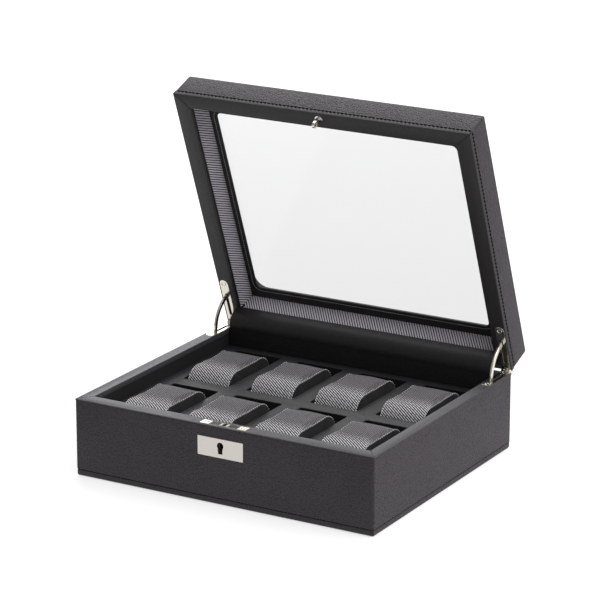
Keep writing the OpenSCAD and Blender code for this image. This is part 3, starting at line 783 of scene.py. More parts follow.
bpy.data.objects.remove(flat_sheet)
build = bmesh.new()
build.from_mesh(deck_mesh)
bmesh.ops.remove_doubles(build, verts=build.verts, dist=WELD)
bmesh.ops.recalc_face_normals(build, faces=build.faces)
open_edges = sum(1 for e in build.edges if not e.is_manifold)
build.to_mesh(deck_mesh)
build.free()
deck_mesh.transform(Matrix.Scale(MM, 4) @ Matrix.Translation((0, 0, deck_z - DECK_T / 2)))
# the deck's leather is the rim's, drawn darker as painted shade
tray_deck = show("tray_deck", deck_mesh, [shaded_deck_calf])
finish(tray_deck, "base", "smooth_grey_leather", "tray_leather")
print("deck: open edges", open_edges, "size", [round(d / MM, 1) for d in tray_deck.dimensions])

# %% [markdown]
# ## The lock's dark cover
# Between its two bright ends the lock's top plate opens wide onto the lock's black works, which lie in shade.
# A thin dark cover with only the catch's slot cut through stands for that opening, so its dark is partly the
# works' own colour and partly painted shade.

# %% Dark lock cover over the opening, painted shade
COVER_HALF = Vector((13.5, 3.7))
SLOT_HALF = Vector((4.2, 3.1))  # the slot that the staple drops into
COVER_T, COVER_SUNK = 0.2, 0.13
# a dark sheet over the lock's wide opening: partly the black works' own colour, partly painted shade
opening_shade_steel = nickel("dark steel, painted shade", "#2b2a2a", 0.35, 0.3)
plate_low, plate_high = node_box("lock_selvedge")
lock_at = Vector((0, (plate_low.y + plate_high.y) / 2))
blank = solid("lock_cover", rectangle(lock_at - COVER_HALF, lock_at + COVER_HALF), COVER_T,
              Matrix.Translation((0, 0, rim_z - COVER_SUNK)))
cover_mesh = blank.data
bpy.data.objects.remove(blank)
cover_mesh.transform(Matrix.Scale(MM, 4))
lock_cover = show("lock_cover", cover_mesh, [opening_shade_steel])
slot_hole = solid("slot_hole", rectangle(lock_at - SLOT_HALF, lock_at + SLOT_HALF), 3,
                  Matrix.Translation((0, 0, rim_z - 1.5)))
cut(lock_cover, [slot_hole])
finish(lock_cover, "base", "nickel_plate")

# %% [markdown]
# ## What stays as CAD
# Boards, pads and linings that only show through gaps keep their CAD mesh and get the finish of their real
# stuff, except that the boards are drawn near black as painted shade in those gaps.

# %% Dress the carried-over CAD parts
def dress(mat, *nodes):
    """Gives CAD nodes a material through their slots."""
    for node in nodes:
        piece = frame["nodes"][node]
        if not piece.material_slots:
            piece.data.materials.append(mat)
        for slot in piece.material_slots:
            slot.material = mat
    print(mat.name, "on", ", ".join(nodes))


# the boards are drawn near black, painted shade where they show in gaps
dress(raw_board, "bottom_board", "front_board", "back_board", "left_board", "right_board",
      "lid_front_board", "lid_back_board", "lid_left_board", "lid_right_board", "lid_top_panel")
dress(felt, "underside_felt")
dress(velour, "base_lining", "tray_floor_pad", "tray_divider", "tray_ribs", "tray_side_strips",
      "tray_end_strips")
dress(satin_nickel, "lock_case", "left_hinge_pin", "right_hinge_pin")
dress(clear_glass, "glass_pane")

# %% [markdown]
# ## The lid's skin
# The lid is wrapped like the base, but its sheet also folds over a broad round top edge,
# crosses the top and rolls down into the window to the glass. It is one ring of rows
# again. The strip on the lid's rim is an L: it covers the rim and laps 4.6 mm up the
# outside, where it meets the sheet edge to edge and a dark thread sews both down.

# %% Lid skin and rim cover
LAP_Z = lid_rim_z + 4.6
TOP_R = 3.5              # the broad round edge of the top
WINDOW_R = 4.5
win_x, win_y = 118.0, 94.7  # half sizes of the window in the ledge
TOP_STEP = 8.0           # the top's opening is wider than the ledge's, so its edge stays out of view
TOP_ROLL = 1.4           # the leather rolls over the opening's edge
SKIN_T = 0.9             # and hangs this thick inside it
lid_x, lid_y = 130.0, inner_y  # half sizes inside the lid's walls


def lid_row(inset, z):
    """A row of the lid's skin, this far in from the outside."""
    return (half_w - inset, half_d - inset, max(CORNER_R - 0.4 * inset, 0.8), z)


def window_row(outward, z):
    """A row round the window, this far outside its edge."""
    return (win_x + outward, win_y + outward, WINDOW_R + outward, z)


turned = [math.radians(a) for a in range(0, 91, 15)]
lid_rows = [lid_row(1.0, LAP_Z + 0.1), lid_row(0.7, LAP_Z + 0.1), lid_row(0.3, LAP_Z + 0.2),
            lid_row(0.08, LAP_Z + 0.45), lid_row(0.0, LAP_Z + 0.9)]
lid_rows += [lid_row(TOP_R * (1 - math.cos(a)), lid_top_z - TOP_R * (1 - math.sin(a))) for a in turned]
lid_rows += [window_row(TOP_STEP - SKIN_T + TOP_ROLL * (1 - math.sin(a)),
                        lid_top_z - TOP_ROLL * (1 - math.cos(a))) for a in turned]
lid_rows += [window_row(TOP_STEP - SKIN_T, glass_top + 0.05), window_row(TOP_STEP, glass_top + 0.05),
             window_row(TOP_STEP, lid_top_z - 1.0), lid_row(TOP_R, lid_top_z - 1.0),
             lid_row(1.0, lid_top_z - TOP_R)]
lid_skin = ring("lid_skin", lid_rows, pebbled_calf, opened=True)
finish(lid_skin, "lid", "charcoal_leather", "lid_leather")

lid_width = (half_w - lid_x, half_d - lid_y)
cover_rows = [(0, 0.85, LAP_Z - 0.05), (0, 0.35, LAP_Z - 0.1), (0, 0.08, LAP_Z - 0.4),
              (0, 0.0, lid_rim_z + 0.5),
              (0, 0.12, lid_rim_z + 0.15), (0, 0.45, lid_rim_z), (1, -0.7, lid_rim_z),
              (1, -0.2, lid_rim_z + 0.2), (1, 0.05, lid_rim_z + 0.7), (1, 0.05, lid_rim_z + 1.9),
              (1, -0.7, lid_rim_z + 2.0), (1, -0.9, lid_rim_z + 0.95), (0, 0.98, lid_rim_z + 0.95)]
# the lid rim's leather is the base rim's, drawn darker as painted shade
lid_rim_cover = mitred_ring("lid_rim_cover", cover_rows, (half_w, half_d), lid_width, shaded_lid_rim_calf,
                            opened=True, roll=0.2)
cut(lid_rim_cover, lid_rim_cutters())
finish(lid_rim_cover, "lid", "smooth_grey_leather", "lid_rim_leather")

# %% [markdown]
# ## Inside the lid
# Below the rim a narrow leather binding covers the top of the lining. The lining ends on
# a leather-covered ledge, and a glossy welt closes the ledge where it meets the glass.

# %% Binding, ledge and welt
def wall_row(inward, z):
    """A row along the inside of the lid's walls, this far in from them."""
    return (lid_x - inward, lid_y - inward, 0.8, z)


BIND_TOP = lid_rim_z + 4.0
bind_rows = [wall_row(-0.6, lid_rim_z + 2.3), wall_row(0.1, lid_rim_z + 2.3),
             wall_row(0.6, lid_rim_z + 2.6), wall_row(0.85, lid_rim_z + 3.1),
             wall_row(0.6, BIND_TOP - 0.4), wall_row(0.1, BIND_TOP), wall_row(-0.6, BIND_TOP)]
# the binding's leather is the rim's, drawn darker as painted shade
binding = ring("lid_binding", bind_rows, shaded_lid_rim_calf, opened=True)
finish(binding, "lid", "smooth_grey_leather")

SEW_OUT = 3.4            # ledge stitches, outward from the window
ledge_rows = [wall_row(-0.3, ledge_z + 1.4), wall_row(-0.3, ledge_z), wall_row(0.8, ledge_z),
              window_row(SEW_OUT + 0.8, ledge_z), window_row(SEW_OUT + 0.3, ledge_z + 0.12),
              window_row(SEW_OUT - 0.3, ledge_z + 0.12), window_row(SEW_OUT - 0.8, ledge_z),
              window_row(1.5, ledge_z), window_row(1.2, ledge_z + 0.3), window_row(1.2, ledge_z + 1.4)]
# the ledge's leather is drawn near black, a painted shade
ledge = ring("glass_ledge", ledge_rows, shaded_ledge_calf, opened=True)
finish(ledge, "lid", "charcoal_leather", "glass_retainer")

WELT_R, WELT_UP = 0.78, 0.72
welt_rows = [window_row(WELT_R + WELT_R * math.cos(a), ledge_z + WELT_UP + WELT_R * math.sin(a))
             for a in [math.radians(30 * i) for i in range(12)]]
welt = ring("window_welt", welt_rows, edge_dye, opened=True)
finish(welt, "lid", "charcoal_leather")

# %% [markdown]
# ## Geometry Nodes for what repeats
# Stitches, lining cords and screws all repeat one small shape along a path or on points.
# Each tree takes the path or points as a mesh in millimetres, with its sizes as named
# inputs, and ends by making its instances real. The result is baked to a plain mesh.

# %% Tree helpers
GROWN_SHARP_DEG = 50


def start_tree(name, **sizes):
    """An empty tree with float inputs, a material input and geometry in and out."""
    tree = bpy.data.node_groups.new(name, "GeometryNodeTree")
    plug = tree.interface.new_socket
    plug("Geometry", in_out="INPUT", socket_type="NodeSocketGeometry")
    plug("Geometry", in_out="OUTPUT", socket_type="NodeSocketGeometry")
    for label, value in sizes.items():
        plug(label.replace("_", " "), in_out="INPUT", socket_type="NodeSocketFloat").default_value = value
    plug("Material", in_out="INPUT", socket_type="NodeSocketMaterial")
    return tree, tree.nodes.new("NodeGroupInput").outputs


def end_tree(tree, geometry, material):
    """Makes the instances real and paints them."""
    real = add(tree, "GeometryNodeRealizeInstances", Geometry=geometry)
    painted = add(tree, "GeometryNodeSetMaterial", Geometry=real.outputs[0], Material=material)
    add(tree, "NodeGroupOutput", Geometry=painted.outputs[0])


def grown(name, tree, verts, edges, mat, opened=False, **sizes):
    """Runs a tree on points or a path in millimetres and bakes the result to a mesh."""
    mesh = bpy.data.meshes.new(name)
    mesh.from_pydata(verts, edges, [])
    piece = bpy.data.objects.new(name, mesh)
    scene.collection.objects.link(piece)
    mod = piece.modifiers.new("grow", "NODES")
    mod.node_group = tree
    ids = {i.name: i.identifier for i in tree.interface.items_tree if i.in_out == "INPUT"}
    mod[ids["Material"]] = mat
    for label, value in sizes.items():
        mod[ids[label.replace("_", " ")]] = float(value)
    baked(piece)
    if opened:
        piece.data.transform(opening)
    piece.data.transform(Matrix.Scale(MM, 4))
    piece.data.shade_smooth()
    piece.data.set_sharp_from_angle(angle=math.radians(GROWN_SHARP_DEG))
    return piece


def loop_edges(n, closed=True):
    """Edges that join n points in a row, and the last one to the first."""
    return [(i, (i + 1) % n) for i in range(n if closed else n - 1)]


def spaced_out(tree, given, **upright):
    """Evenly spaced points on the path, and the rotation that turns X along it."""
    path = add(tree, "GeometryNodeMeshToCurve", Mesh=given["Geometry"])
    spaced = add(tree, "GeometryNodeResampleCurve", {"mode": "LENGTH"},
                 Curve=path.outputs[0], Length=given["Pitch"])
    heading = add(tree, "GeometryNodeInputTangent")
    turn = add(tree, "FunctionNodeAlignRotationToVector", {"axis": "X", **upright},
               Vector=heading.outputs[0])
    return spaced.outputs[0], turn.outputs[0]


print("tree helpers ready; grown pieces show edges over", GROWN_SHARP_DEG, "degrees")

# %% [markdown]
# ## Stitches
# A stitch of waxed thread is a short bead that dips into the leather at both ends. One
# stretched sphere stands for it, and the tree lays it along the seam at the real pitch.
# Modelled stitches cast their own small shadows, which a bump map can't.

# %% Stitch tree
stitch_tree, given = start_tree("stitch row", Pitch=3.0, Length=2.2, Thickness=0.5)
points, turn = spaced_out(stitch_tree, given)
bead = add(stitch_tree, "GeometryNodeMeshUVSphere", Segments=6, Rings=4, Radius=0.5)
shape = add(stitch_tree, "ShaderNodeCombineXYZ", X=given["Length"], Y=given["Thickness"],
            Z=given["Thickness"])
one_stitch = add(stitch_tree, "GeometryNodeTransform", Geometry=bead.outputs["Mesh"],
                 Scale=shape.outputs[0])
stitched = add(stitch_tree, "GeometryNodeInstanceOnPoints", Points=points,
               Instance=one_stitch.outputs[0], Rotation=turn)
end_tree(stitch_tree, stitched.outputs[0], given["Material"])


def stitch_loop(name, row, body, slot, mat, opened=False, **sizes):
    """Stitches round one loop of the box; row is (half_x, half_y, r, z)."""
    verts = rounded_loop(*row)
    piece = grown(name, stitch_tree, verts, loop_edges(len(verts)), mat, opened, **sizes)
    return finish(piece, body, slot)


stitch_loop("foot_stitches", inset_row(0.35, SEAM_Z), "base", "charcoal_leather", black_thread,
            Pitch=3.4, Length=2.6, Thickness=0.6)
stitch_loop("lid_lap_stitches", lid_row(0.0, LAP_Z), "lid", "charcoal_leather", black_thread,
            opened=True, Pitch=3.8, Length=2.8, Thickness=1.5)
stitch_loop("ledge_stitches", window_row(SEW_OUT, ledge_z), "lid", "charcoal_leather", pale_thread,
            opened=True, Pitch=2.4, Length=1.7, Thickness=0.45)

# %% [markdown]
# ## The corded lining
# The lid's walls are lined with a corded fabric whose cords climb on a slant, one every
# 2.6 mm along the wall. The fabric is padded out towards the ledge, so it leans inwards.
# The cords catch light along their length, which a bump map can't do at a low angle, so
# each one is a real half-round bar, half sunk in the lining behind it. Each wall is grown by
# itself, with bars that are too long, and is then trimmed at its corners and edges.

# %% Lining cords
CORD_PITCH, CORD_WIDTH, CORD_DEPTH = 2.6, 1.45, 0.5
CORD_SLANT = math.radians(34)  # off upright
LEAN_MM = 4.2            # how far the lining stands in at the ledge
OVERRUN = 12.0           # the path starts this far before its corner
SPARE = 3.0              # and each bar is this much too long
cord_tree, given = start_tree("slanted cords", Pitch=2.6, Width=1.4, Depth=0.5, Length=20.0,
                              Slant=0.0, Lean=0.0)
points, turn = spaced_out(cord_tree, given, pivot_axis="Z")
bar = add(cord_tree, "GeometryNodeMeshCylinder", Vertices=10, Radius=0.5, Depth=1.0)
double = add(cord_tree, "ShaderNodeMath", {"operation": "MULTIPLY"}, _0=given["Depth"], _1=2.0)
shape = add(cord_tree, "ShaderNodeCombineXYZ", X=given["Width"], Y=double.outputs[0],
            Z=given["Length"])
slant = add(cord_tree, "ShaderNodeCombineXYZ", Y=given["Slant"])
slanted = add(cord_tree, "GeometryNodeTransform", Geometry=bar.outputs["Mesh"],
              Scale=shape.outputs[0], Rotation=slant.outputs[0])
tilt = add(cord_tree, "ShaderNodeCombineXYZ", X=given["Lean"])
one_cord = add(cord_tree, "GeometryNodeTransform", Geometry=slanted.outputs[0],
               Rotation=tilt.outputs[0])
row = add(cord_tree, "GeometryNodeInstanceOnPoints", Points=points,
          Instance=one_cord.outputs[0], Rotation=turn)
end_tree(cord_tree, row.outputs[0], given["Material"])

cord_low, cord_high = BIND_TOP + 0.3, ledge_z - 0.1
lean = math.atan(LEAN_MM / (cord_high - cord_low))
cord_x, cord_y = lid_x - LEAN_MM / 2, lid_y - LEAN_MM / 2
cord_length = (cord_high - cord_low) / math.cos(lean) / math.cos(CORD_SLANT) + SPARE


def wall_cords(start, end, way, sheet):
    """Adds one wall's cords to sheet, in metres and with the lid shut, trimmed to the wall."""
    mid = (cord_low + cord_high) / 2
    along = (Vector(end) - Vector(start)).normalized()
    verts = [(*(Vector(start) - along * OVERRUN), mid), (*(Vector(end) + along * OVERRUN), mid)]
    wall = grown("wall", cord_tree, verts, [(0, 1)], cord_cloth, Pitch=CORD_PITCH, Width=CORD_WIDTH,
                 Depth=CORD_DEPTH, Length=cord_length, Slant=way * CORD_SLANT, Lean=-lean)
    part = bmesh.new()
    part.from_mesh(wall.data)
    flat = Vector((*along, 0))
    up = Vector((0, 0, 1))
    edges = [(Vector((*start, mid)), -flat), (Vector((*end, mid)), flat),
             (up * cord_low, -up), (up * cord_high, up)]
    for place, outward in edges:
        everything = part.verts[:] + part.edges[:] + part.faces[:]
        cut_line = bmesh.ops.bisect_plane(part, geom=everything, plane_co=place * MM,
                                          plane_no=outward, clear_outer=True)["geom_cut"]
        bmesh.ops.holes_fill(part, edges=[g for g in cut_line if isinstance(g, bmesh.types.BMEdge)])
    trimmed = bpy.data.meshes.new("trimmed")
    part.to_mesh(trimmed)
    part.free()
    sheet.from_mesh(trimmed)
    bpy.data.objects.remove(wall)


cord_sheet = bmesh.new()
corners = [(-cord_x, -cord_y), (cord_x, -cord_y), (cord_x, cord_y), (-cord_x, cord_y)]
for i, way in enumerate((1, -1, 1, -1)):
    wall_cords(corners[i], corners[(i + 1) % 4], way, cord_sheet)
cord_mesh = bpy.data.meshes.new("lining_cords")
cord_sheet.to_mesh(cord_mesh)
cord_sheet.free()
cord_mesh.transform(Matrix.Scale(MM, 4) @ opening @ Matrix.Scale(1 / MM, 4))
cords = show("lining_cords", cord_mesh, [cord_cloth], GROWN_SHARP_DEG)
finish(cords, "lid", "ribbed_lining")

pad_rows = [wall_row(-0.4, cord_low - 0.2), wall_row(0.0, cord_low - 0.2),
            wall_row(LEAN_MM, ledge_z + 0.1), wall_row(-0.4, ledge_z + 0.1)]
# the pad seen between the cords is drawn near black, a painted shade
lining_pad = ring("lining_pad", pad_rows, cord_gap_shade, opened=True)
finish(lining_pad, "lid", "ribbed_lining", "lid_lining")

# %% [markdown]
# ## Screws
# Four screws hold the hinge leaves and two the lock's top plate. The heads are slightly
# domed, with a crossed recess, and the tree cuts the recess with a real boolean.

# %% Screw tree
SCREW_R = 2.2            # the countersink that the head sits in
DOME_HIGH, DOME_UP = 0.5, 0.06  # half height of the domed head, and how far it stands up
BLADE_REACH = 1.25       # a recess blade against the head's radius
BLADE_DEEP = 0.7
SHANK_R, SHANK_LONG, SHANK_MID = 1.25, 8.0, -4.95
CROSS_TURN = 0.6         # radians; no fitter leaves a cross square to the edge
screw_tree, given = start_tree("crossed screws", Head=2.2, Slot=0.5, Flip=0.0)
dome = add(screw_tree, "GeometryNodeMeshUVSphere", Segments=24, Rings=12, Radius=1.0)
flat_dome = add(screw_tree, "ShaderNodeCombineXYZ", X=given["Head"], Y=given["Head"], Z=DOME_HIGH)
head = add(screw_tree, "GeometryNodeTransform", Geometry=dome.outputs["Mesh"],
           Translation=(0, 0, DOME_UP - DOME_HIGH), Scale=flat_dome.outputs[0])
reach = add(screw_tree, "ShaderNodeMath", {"operation": "MULTIPLY"}, _0=given["Head"], _1=BLADE_REACH)
blades = []
for long_way, thin_way in (("X", "Y"), ("Y", "X")):
    extent = add(screw_tree, "ShaderNodeCombineXYZ", Z=BLADE_DEEP,
                 **{long_way: reach.outputs[0], thin_way: given["Slot"]})
    blades.append(add(screw_tree, "GeometryNodeMeshCube", Size=extent.outputs[0]))
cross = add(screw_tree, "GeometryNodeJoinGeometry")
for blade in blades:
    screw_tree.links.new(blade.outputs["Mesh"], cross.inputs[0])
recess = add(screw_tree, "GeometryNodeMeshBoolean", {"operation": "DIFFERENCE"},
             Mesh_1=head.outputs[0], Mesh_2=cross.outputs[0])
shank = add(screw_tree, "GeometryNodeMeshCylinder", Vertices=12, Radius=SHANK_R, Depth=SHANK_LONG)
sunk = add(screw_tree, "GeometryNodeTransform", Geometry=shank.outputs["Mesh"],
           Translation=(0, 0, SHANK_MID))
whole = add(screw_tree, "GeometryNodeJoinGeometry", Geometry=recess.outputs[0])
screw_tree.links.new(sunk.outputs[0], whole.inputs[0])
flip = add(screw_tree, "ShaderNodeCombineXYZ", X=given["Flip"], Z=CROSS_TURN)
placed = add(screw_tree, "GeometryNodeInstanceOnPoints", Points=given["Geometry"],
             Instance=whole.outputs[0], Rotation=flip.outputs[0])
end_tree(screw_tree, placed.outputs[0], given["Material"])


def centres(node, measured, z, inset):
    """The places of a pair of screws: this far in from both ends of the pair's CAD box."""
    lo, hi = measured(node)
    return [(x, (lo.y + hi.y) / 2, z) for x in (lo.x + inset, hi.x - inset)]


screw_sets = [
    ("base_hinge_screws", "base", node_box, rim_z, 0.0, False),
    ("lid_hinge_screws", "lid", shut_box, lid_rim_z, math.pi, True),
    ("lock_screws", "base", node_box, rim_z, 0.0, False),
]
for node, body, measured, z, flipped, opened in screw_sets:
    places = centres(node, measured, z, SCREW_R)
    screws = grown("made_" + node, screw_tree, places, [], polished_nickel, opened,
                   Head=SCREW_R - PLAY, Slot=0.5, Flip=flipped)
    finish(screws, body, "nickel_plate", node)

# %% [markdown]
# ## The leather fold at the back
# A strip of thin leather closes the back between the hinges. It is glued to the base's back wall and to the
# lid's, and bulges softly in front of both rims, round the hinge line. Its upper part faces up and catches
# light, and its lower part fades to black.

# %% Fold
FOLD_T = 0.6
FOLD_IN = 0.9            # the sheet's middle stands this far in front of the base's inner wall
FOLD_IN_LID = 1.3        # and a little more in the lid, where it covers the binding
FOLD_SLACK = 0.7         # extra bulge half way round
GLUED_STEPS, ARC_STEPS = 8, 28
fold_half = node_box("hinge_gusset")[1].x
low_z, high_z = deck_z + 0.3, hinge_at.z - 0.6  # where it is glued to the base's back wall
base_r = hinge_at.y - (inner_y - FOLD_IN)
lid_r = hinge_at.y - (inner_y - FOLD_IN_LID)
line = [(inner_y - FOLD_IN, low_z + (high_z - low_z) * i / GLUED_STEPS) for i in range(GLUED_STEPS + 1)]
for i in range(ARC_STEPS + 1):
    share = i / ARC_STEPS
    r = base_r + (lid_r - base_r) * share + FOLD_SLACK * math.sin(math.pi * share)
    line.append((hinge_at.y - r * math.cos(lid_open * share), hinge_at.z + r * math.sin(lid_open * share)))
for z in (lid_rim_z + 1.0, lid_rim_z + 2.0, lid_rim_z + 3.0, BIND_TOP + 0.3):
    at = opening @ Vector((0, inner_y - FOLD_IN_LID, z))
    line.append((at.y, at.z))


STRIP_STEPS = 40         # along the strip


def strip(name, centre_line, half_length, thick, mat):
    """A closed thin strip along X; its section is a line in (y, z) given a thickness."""
    points = [Vector(p) for p in centre_line]
    sides = []
    for i, p in enumerate(points):
        along = (points[min(i + 1, len(points) - 1)] - points[max(i - 1, 0)]).normalized()
        sides.append(Vector((-along.y, along.x)) * thick / 2)
    section = [p + s for p, s in zip(points, sides)] + [p - s for p, s in zip(points, sides)][::-1]
    stations = [half_length * (-1 + 2 * i / STRIP_STEPS) for i in range(STRIP_STEPS + 1)]
    rows = [[(x, p.x, p.y) for p in section] for x in stations]
    verts, faces = join_rows(rows, closed=False)
    n = len(section)
    half = n // 2
    for base, flip in ((0, False), (n * (len(rows) - 1), True)):
        for i in range(half - 1):
            cap = (base + i, base + i + 1, base + n - 2 - i, base + n - 1 - i)
            faces.append(cap[::-1] if flip else cap)
    return to_piece(name, verts, faces, [mat])


fold = strip("leather_fold", line, fold_half, FOLD_T, fold_calf)
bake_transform(fold)
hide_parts("hinge_gusset")

# %% [markdown]
# ## Watch cushions
# Each cushion is a foam block in a cloth cover: a twill band runs round the front, top,
# back and foot, and two plain dark panels close the sides. The band is crowned, the
# panels bulge a little, and a line of pale stitches runs along each seam. The mesh
# is laid out on purpose, with columns across the band and rings on the panels, so that
# the seams are edge loops and the cloth's UV is true millimetres. A short cloth simulation
# with air pressure then fills it. All eight start from that one, and each is turned and
# dented a hair differently.

# %% One cushion's layout
seat_lo, seat_hi = node_box("cushion_front_1")
cushion_w = seat_hi.x - seat_lo.x
cushion_l = seat_hi.y - seat_lo.y
cushion_h = seat_hi.z - seat_lo.z
AROUND = 84              # points round the band
SHRINK = 0.9             # the pad starts smaller, and swells to its size
CROWN, SUNK = 0.6, 0.5   # the band rises towards its middle, from a little inside its size
half_cw = cushion_w / 2 - 0.6
across = [half_cw, half_cw - 0.7, half_cw - 1.5, half_cw - 2.3, half_cw - 4.4, half_cw * 0.62,
          half_cw * 0.4, half_cw * 0.2]
columns = [-x for x in across] + [0.0] + across[::-1]
corner_r = [16.0, 16.0, 6.0, 6.0]
PANEL_RINGS = ((0.95, 0.15), (0.8, 0.35), (0.55, 0.5), (0.25, 0.55))  # size, and bulge in mm


def side_profile(count):
    """Points round the side of a cushion: wide curves above, tight ones at the foot."""
    half_l, half_h = cushion_l / 2 - SHRINK, cushion_h / 2 - SHRINK
    fine = []
    corners = [(1, 1), (-1, 1), (-1, -1), (1, -1)]
    for (sx, sy), r, start in zip(corners, corner_r, (0, 90, 180, 270)):
        cx, cy = sx * (half_l - r), sy * (half_h - r)
        fine += disc(r, (cx, cy), 24, start, 90)
    steps = [Vector(b) - Vector(a) for a, b in zip(fine, fine[1:] + fine[:1])]
    total = sum(s.length for s in steps)
    spread, travelled, i = [], 0.0, 0
    for k in range(count):
        goal = total * k / count
        while travelled + steps[i].length < goal:
            travelled += steps[i].length
            i += 1
        spread.append(Vector(fine[i]) + steps[i].normalized() * (goal - travelled))
    return spread, total


def cushion_mesh():
    """The closed cover with its UV in metres and two materials."""
    profile, total = side_profile(AROUND)
    build = bmesh.new()
    uv = build.loops.layers.uv.new("cloth")
    crown = [CROWN * math.cos(math.pi / 2 * x / half_cw) for x in columns]
    grid = []
    for x, lift in zip(columns, crown):
        grid.append([build.verts.new((x, *(p + p.normalized() * (lift - SUNK)))) for p in profile])
    for c in range(len(columns) - 1):
        for k in range(AROUND):
            m = (k + 1) % AROUND
            face = build.faces.new([grid[c][k], grid[c + 1][k], grid[c + 1][m], grid[c][m]])
            spots = [(c, k), (c + 1, k), (c + 1, k + 1), (c, k + 1)]
            for corner, (cc, kk) in zip(face.loops, spots):
                corner[uv].uv = (total * kk / AROUND * MM, columns[cc] * MM)
    for end, sign in ((0, -1), (-1, 1)):
        rings = [grid[end]]
        for scale, out in PANEL_RINGS:
            rings.append([build.verts.new((columns[end] + sign * out, v.co.y * scale, v.co.z * scale))
                          for v in grid[end]])
        hub = build.verts.new((columns[end] + sign * PANEL_RINGS[-1][1], 0, 0))
        panels = []
        for near, far in zip(rings, rings[1:]):
            panels += [build.faces.new([near[k], near[(k + 1) % AROUND], far[(k + 1) % AROUND], far[k]])
                       for k in range(AROUND)]
        panels += [build.faces.new([rings[-1][k], rings[-1][(k + 1) % AROUND], hub])
                   for k in range(AROUND)]
        for face in panels:
            face.material_index = 1
            for corner in face.loops:
                corner[uv].uv = (corner.vert.co.y * MM, corner.vert.co.z * MM)
    return outward_mesh("cushion", build)


master = show("cushion_master", cushion_mesh(), [band_twill, side_cloth])
print("cushion cover:", len(master.data.vertices), "points")

# %% [markdown]
# ## Filling the cushion
# The cover blows up like a pad for twenty frames with gravity off, while its foot is held.
# Points may move 2.2 mm at most, and the sides only 0.6 mm, because the pocket is
# narrow. Then the seam columns are drawn in again, where the stitches pull, and one
# subdivision smooths the cover.

# %% Cloth simulation
MOVE_MM, SIDE_MOVE_MM = 2.2, 0.6
FILL_FRAMES = 20
HELD_MM = 2              # the lowest part of the cover, which is held
PULL_MM = {1: 0.25, 2: 0.45, 3: 0.2}  # how far the seam draws in each column, counted from the edge


def filled(piece):
    """Pressure simulation, applied and capped."""
    start = [v.co.copy() for v in piece.data.vertices]
    held = piece.vertex_groups.new(name="held")
    foot = min(v.z for v in start)
    held.add([i for i, v in enumerate(start) if v.z < foot + HELD_MM * MM], 1.0, "REPLACE")
    mod = piece.modifiers.new("fill", "CLOTH")
    mod.settings.quality = 6
    mod.settings.mass = 0.2
    mod.settings.use_pressure = True
    mod.settings.uniform_pressure_force = 4.0
    mod.settings.effector_weights.gravity = 0.0
    mod.settings.vertex_group_mass = "held"
    mod.point_cache.frame_start = 1
    mod.point_cache.frame_end = FILL_FRAMES
    for frame_number in range(1, FILL_FRAMES + 1):
        scene.frame_set(frame_number)
    baked(piece)
    scene.frame_set(1)
    farthest = 0.0
    for v, old in zip(piece.data.vertices, start):
        move = v.co - old
        farthest = max(farthest, move.length)
        if move.length > MOVE_MM * MM:
            move *= MOVE_MM * MM / move.length
        move.x = max(-SIDE_MOVE_MM * MM, min(SIDE_MOVE_MM * MM, move.x))
        v.co = old + move
    print(f"filled: a point moved up to {farthest / MM:.1f} mm before the cap")


filled(master)

for c in range(len(columns)):
    depth = PULL_MM.get(min(c, len(columns) - 1 - c), 0.0)
    for k in range(AROUND):
        v = master.data.vertices[c * AROUND + k]
        outward = Vector((0, v.co.y, v.co.z)).normalized()
        v.co -= outward * depth * MM
smooth_mod = master.modifiers.new("smooth", "SUBSURF")
smooth_mod.levels = smooth_mod.render_levels = 1
baked(master)
fit_lo = Vector(min(v.co[i] for v in master.data.vertices) for i in range(3)) / MM
fit_hi = Vector(max(v.co[i] for v in master.data.vertices) for i in range(3)) / MM
print("cushion size:", [round(fit_hi[i] - fit_lo[i], 1) for i in range(3)], "mm")

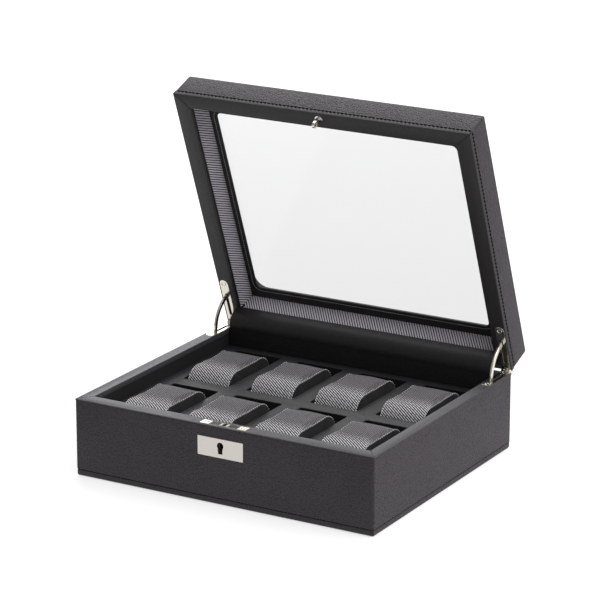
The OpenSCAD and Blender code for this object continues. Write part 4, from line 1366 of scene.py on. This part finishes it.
# %% [markdown]
# ## Eight cushions
# Hand-filled pads are never quite alike. Each one is a copy of the master, turned by up to
# half a degree and dented by a slow noise whose place depends on the cushion's number. Its
# two rows of stitches follow the copy's own seam points, so they lie on the cloth.

# %% Eight cushions and their stitches
STITCH_COLUMNS = (1, len(columns) - 2)
STITCH_LIFT_MM = 0.3     # the beads' middle line, above the cloth
TURN_DEG, DENT_MM = 0.5, 0.55
DENT_SIZE_MM = 21        # one slow dent
SOFT_FROM_MM = 18        # dents are full this far above the middle, and fade to none at it


def cushion(node, number):
    """A copy of the master in its pocket, slightly turned and dented."""
    lo, hi = node_box(node)
    middle = (lo + hi) / 2 * MM
    mesh = master.data.copy()
    spun = Matrix.Rotation(math.radians(TURN_DEG * math.sin(2.4 * number + 0.7)), 4, "Z")
    for v in mesh.vertices:
        where = Vector((v.co.x, v.co.y, v.co.z + 0.4 * number)) / (DENT_SIZE_MM * MM)
        upper = max(0.0, min(1.0, v.co.z / (SOFT_FROM_MM * MM)))
        dent = noise.noise(where + Vector((number * 3.1, 0, 0))) * DENT_MM * upper
        out = Vector((0.15 * v.co.x, v.co.y, v.co.z)).normalized()
        v.co += out * dent * MM
    mesh.transform(Matrix.Translation(middle) @ spun)
    piece = show("cloth_" + node, mesh, [band_twill, side_cloth], sharp_deg=75)
    finish(piece, node, "woven_band", node, node.replace("cushion_", "cushion_core_"))
    rows = []
    normals = mesh.vertex_normals
    for c in STITCH_COLUMNS:
        ring_points = [c * AROUND + k for k in range(AROUND)]
        seen = [i for i in ring_points if mesh.vertices[i].co.z > middle.z + 2 * MM]
        seen.sort(key=lambda i: mesh.vertices[i].co.y)
        rows.append([(mesh.vertices[i].co + normals[i].vector * STITCH_LIFT_MM * MM) / MM for i in seen])
    verts = [tuple(p) for points in rows for p in points]
    first = len(rows[0])
    edges = loop_edges(first, closed=False)
    edges += [(a + first, b + first) for a, b in loop_edges(len(rows[1]), closed=False)]
    sewn = grown("sewing_" + node, stitch_tree, verts, edges, pale_thread,
                 Pitch=3.0, Length=1.6, Thickness=0.85)
    finish(sewn, node, "woven_band")


for number, node in enumerate(cushion_nodes):
    cushion(node, number)
bpy.data.objects.remove(master)
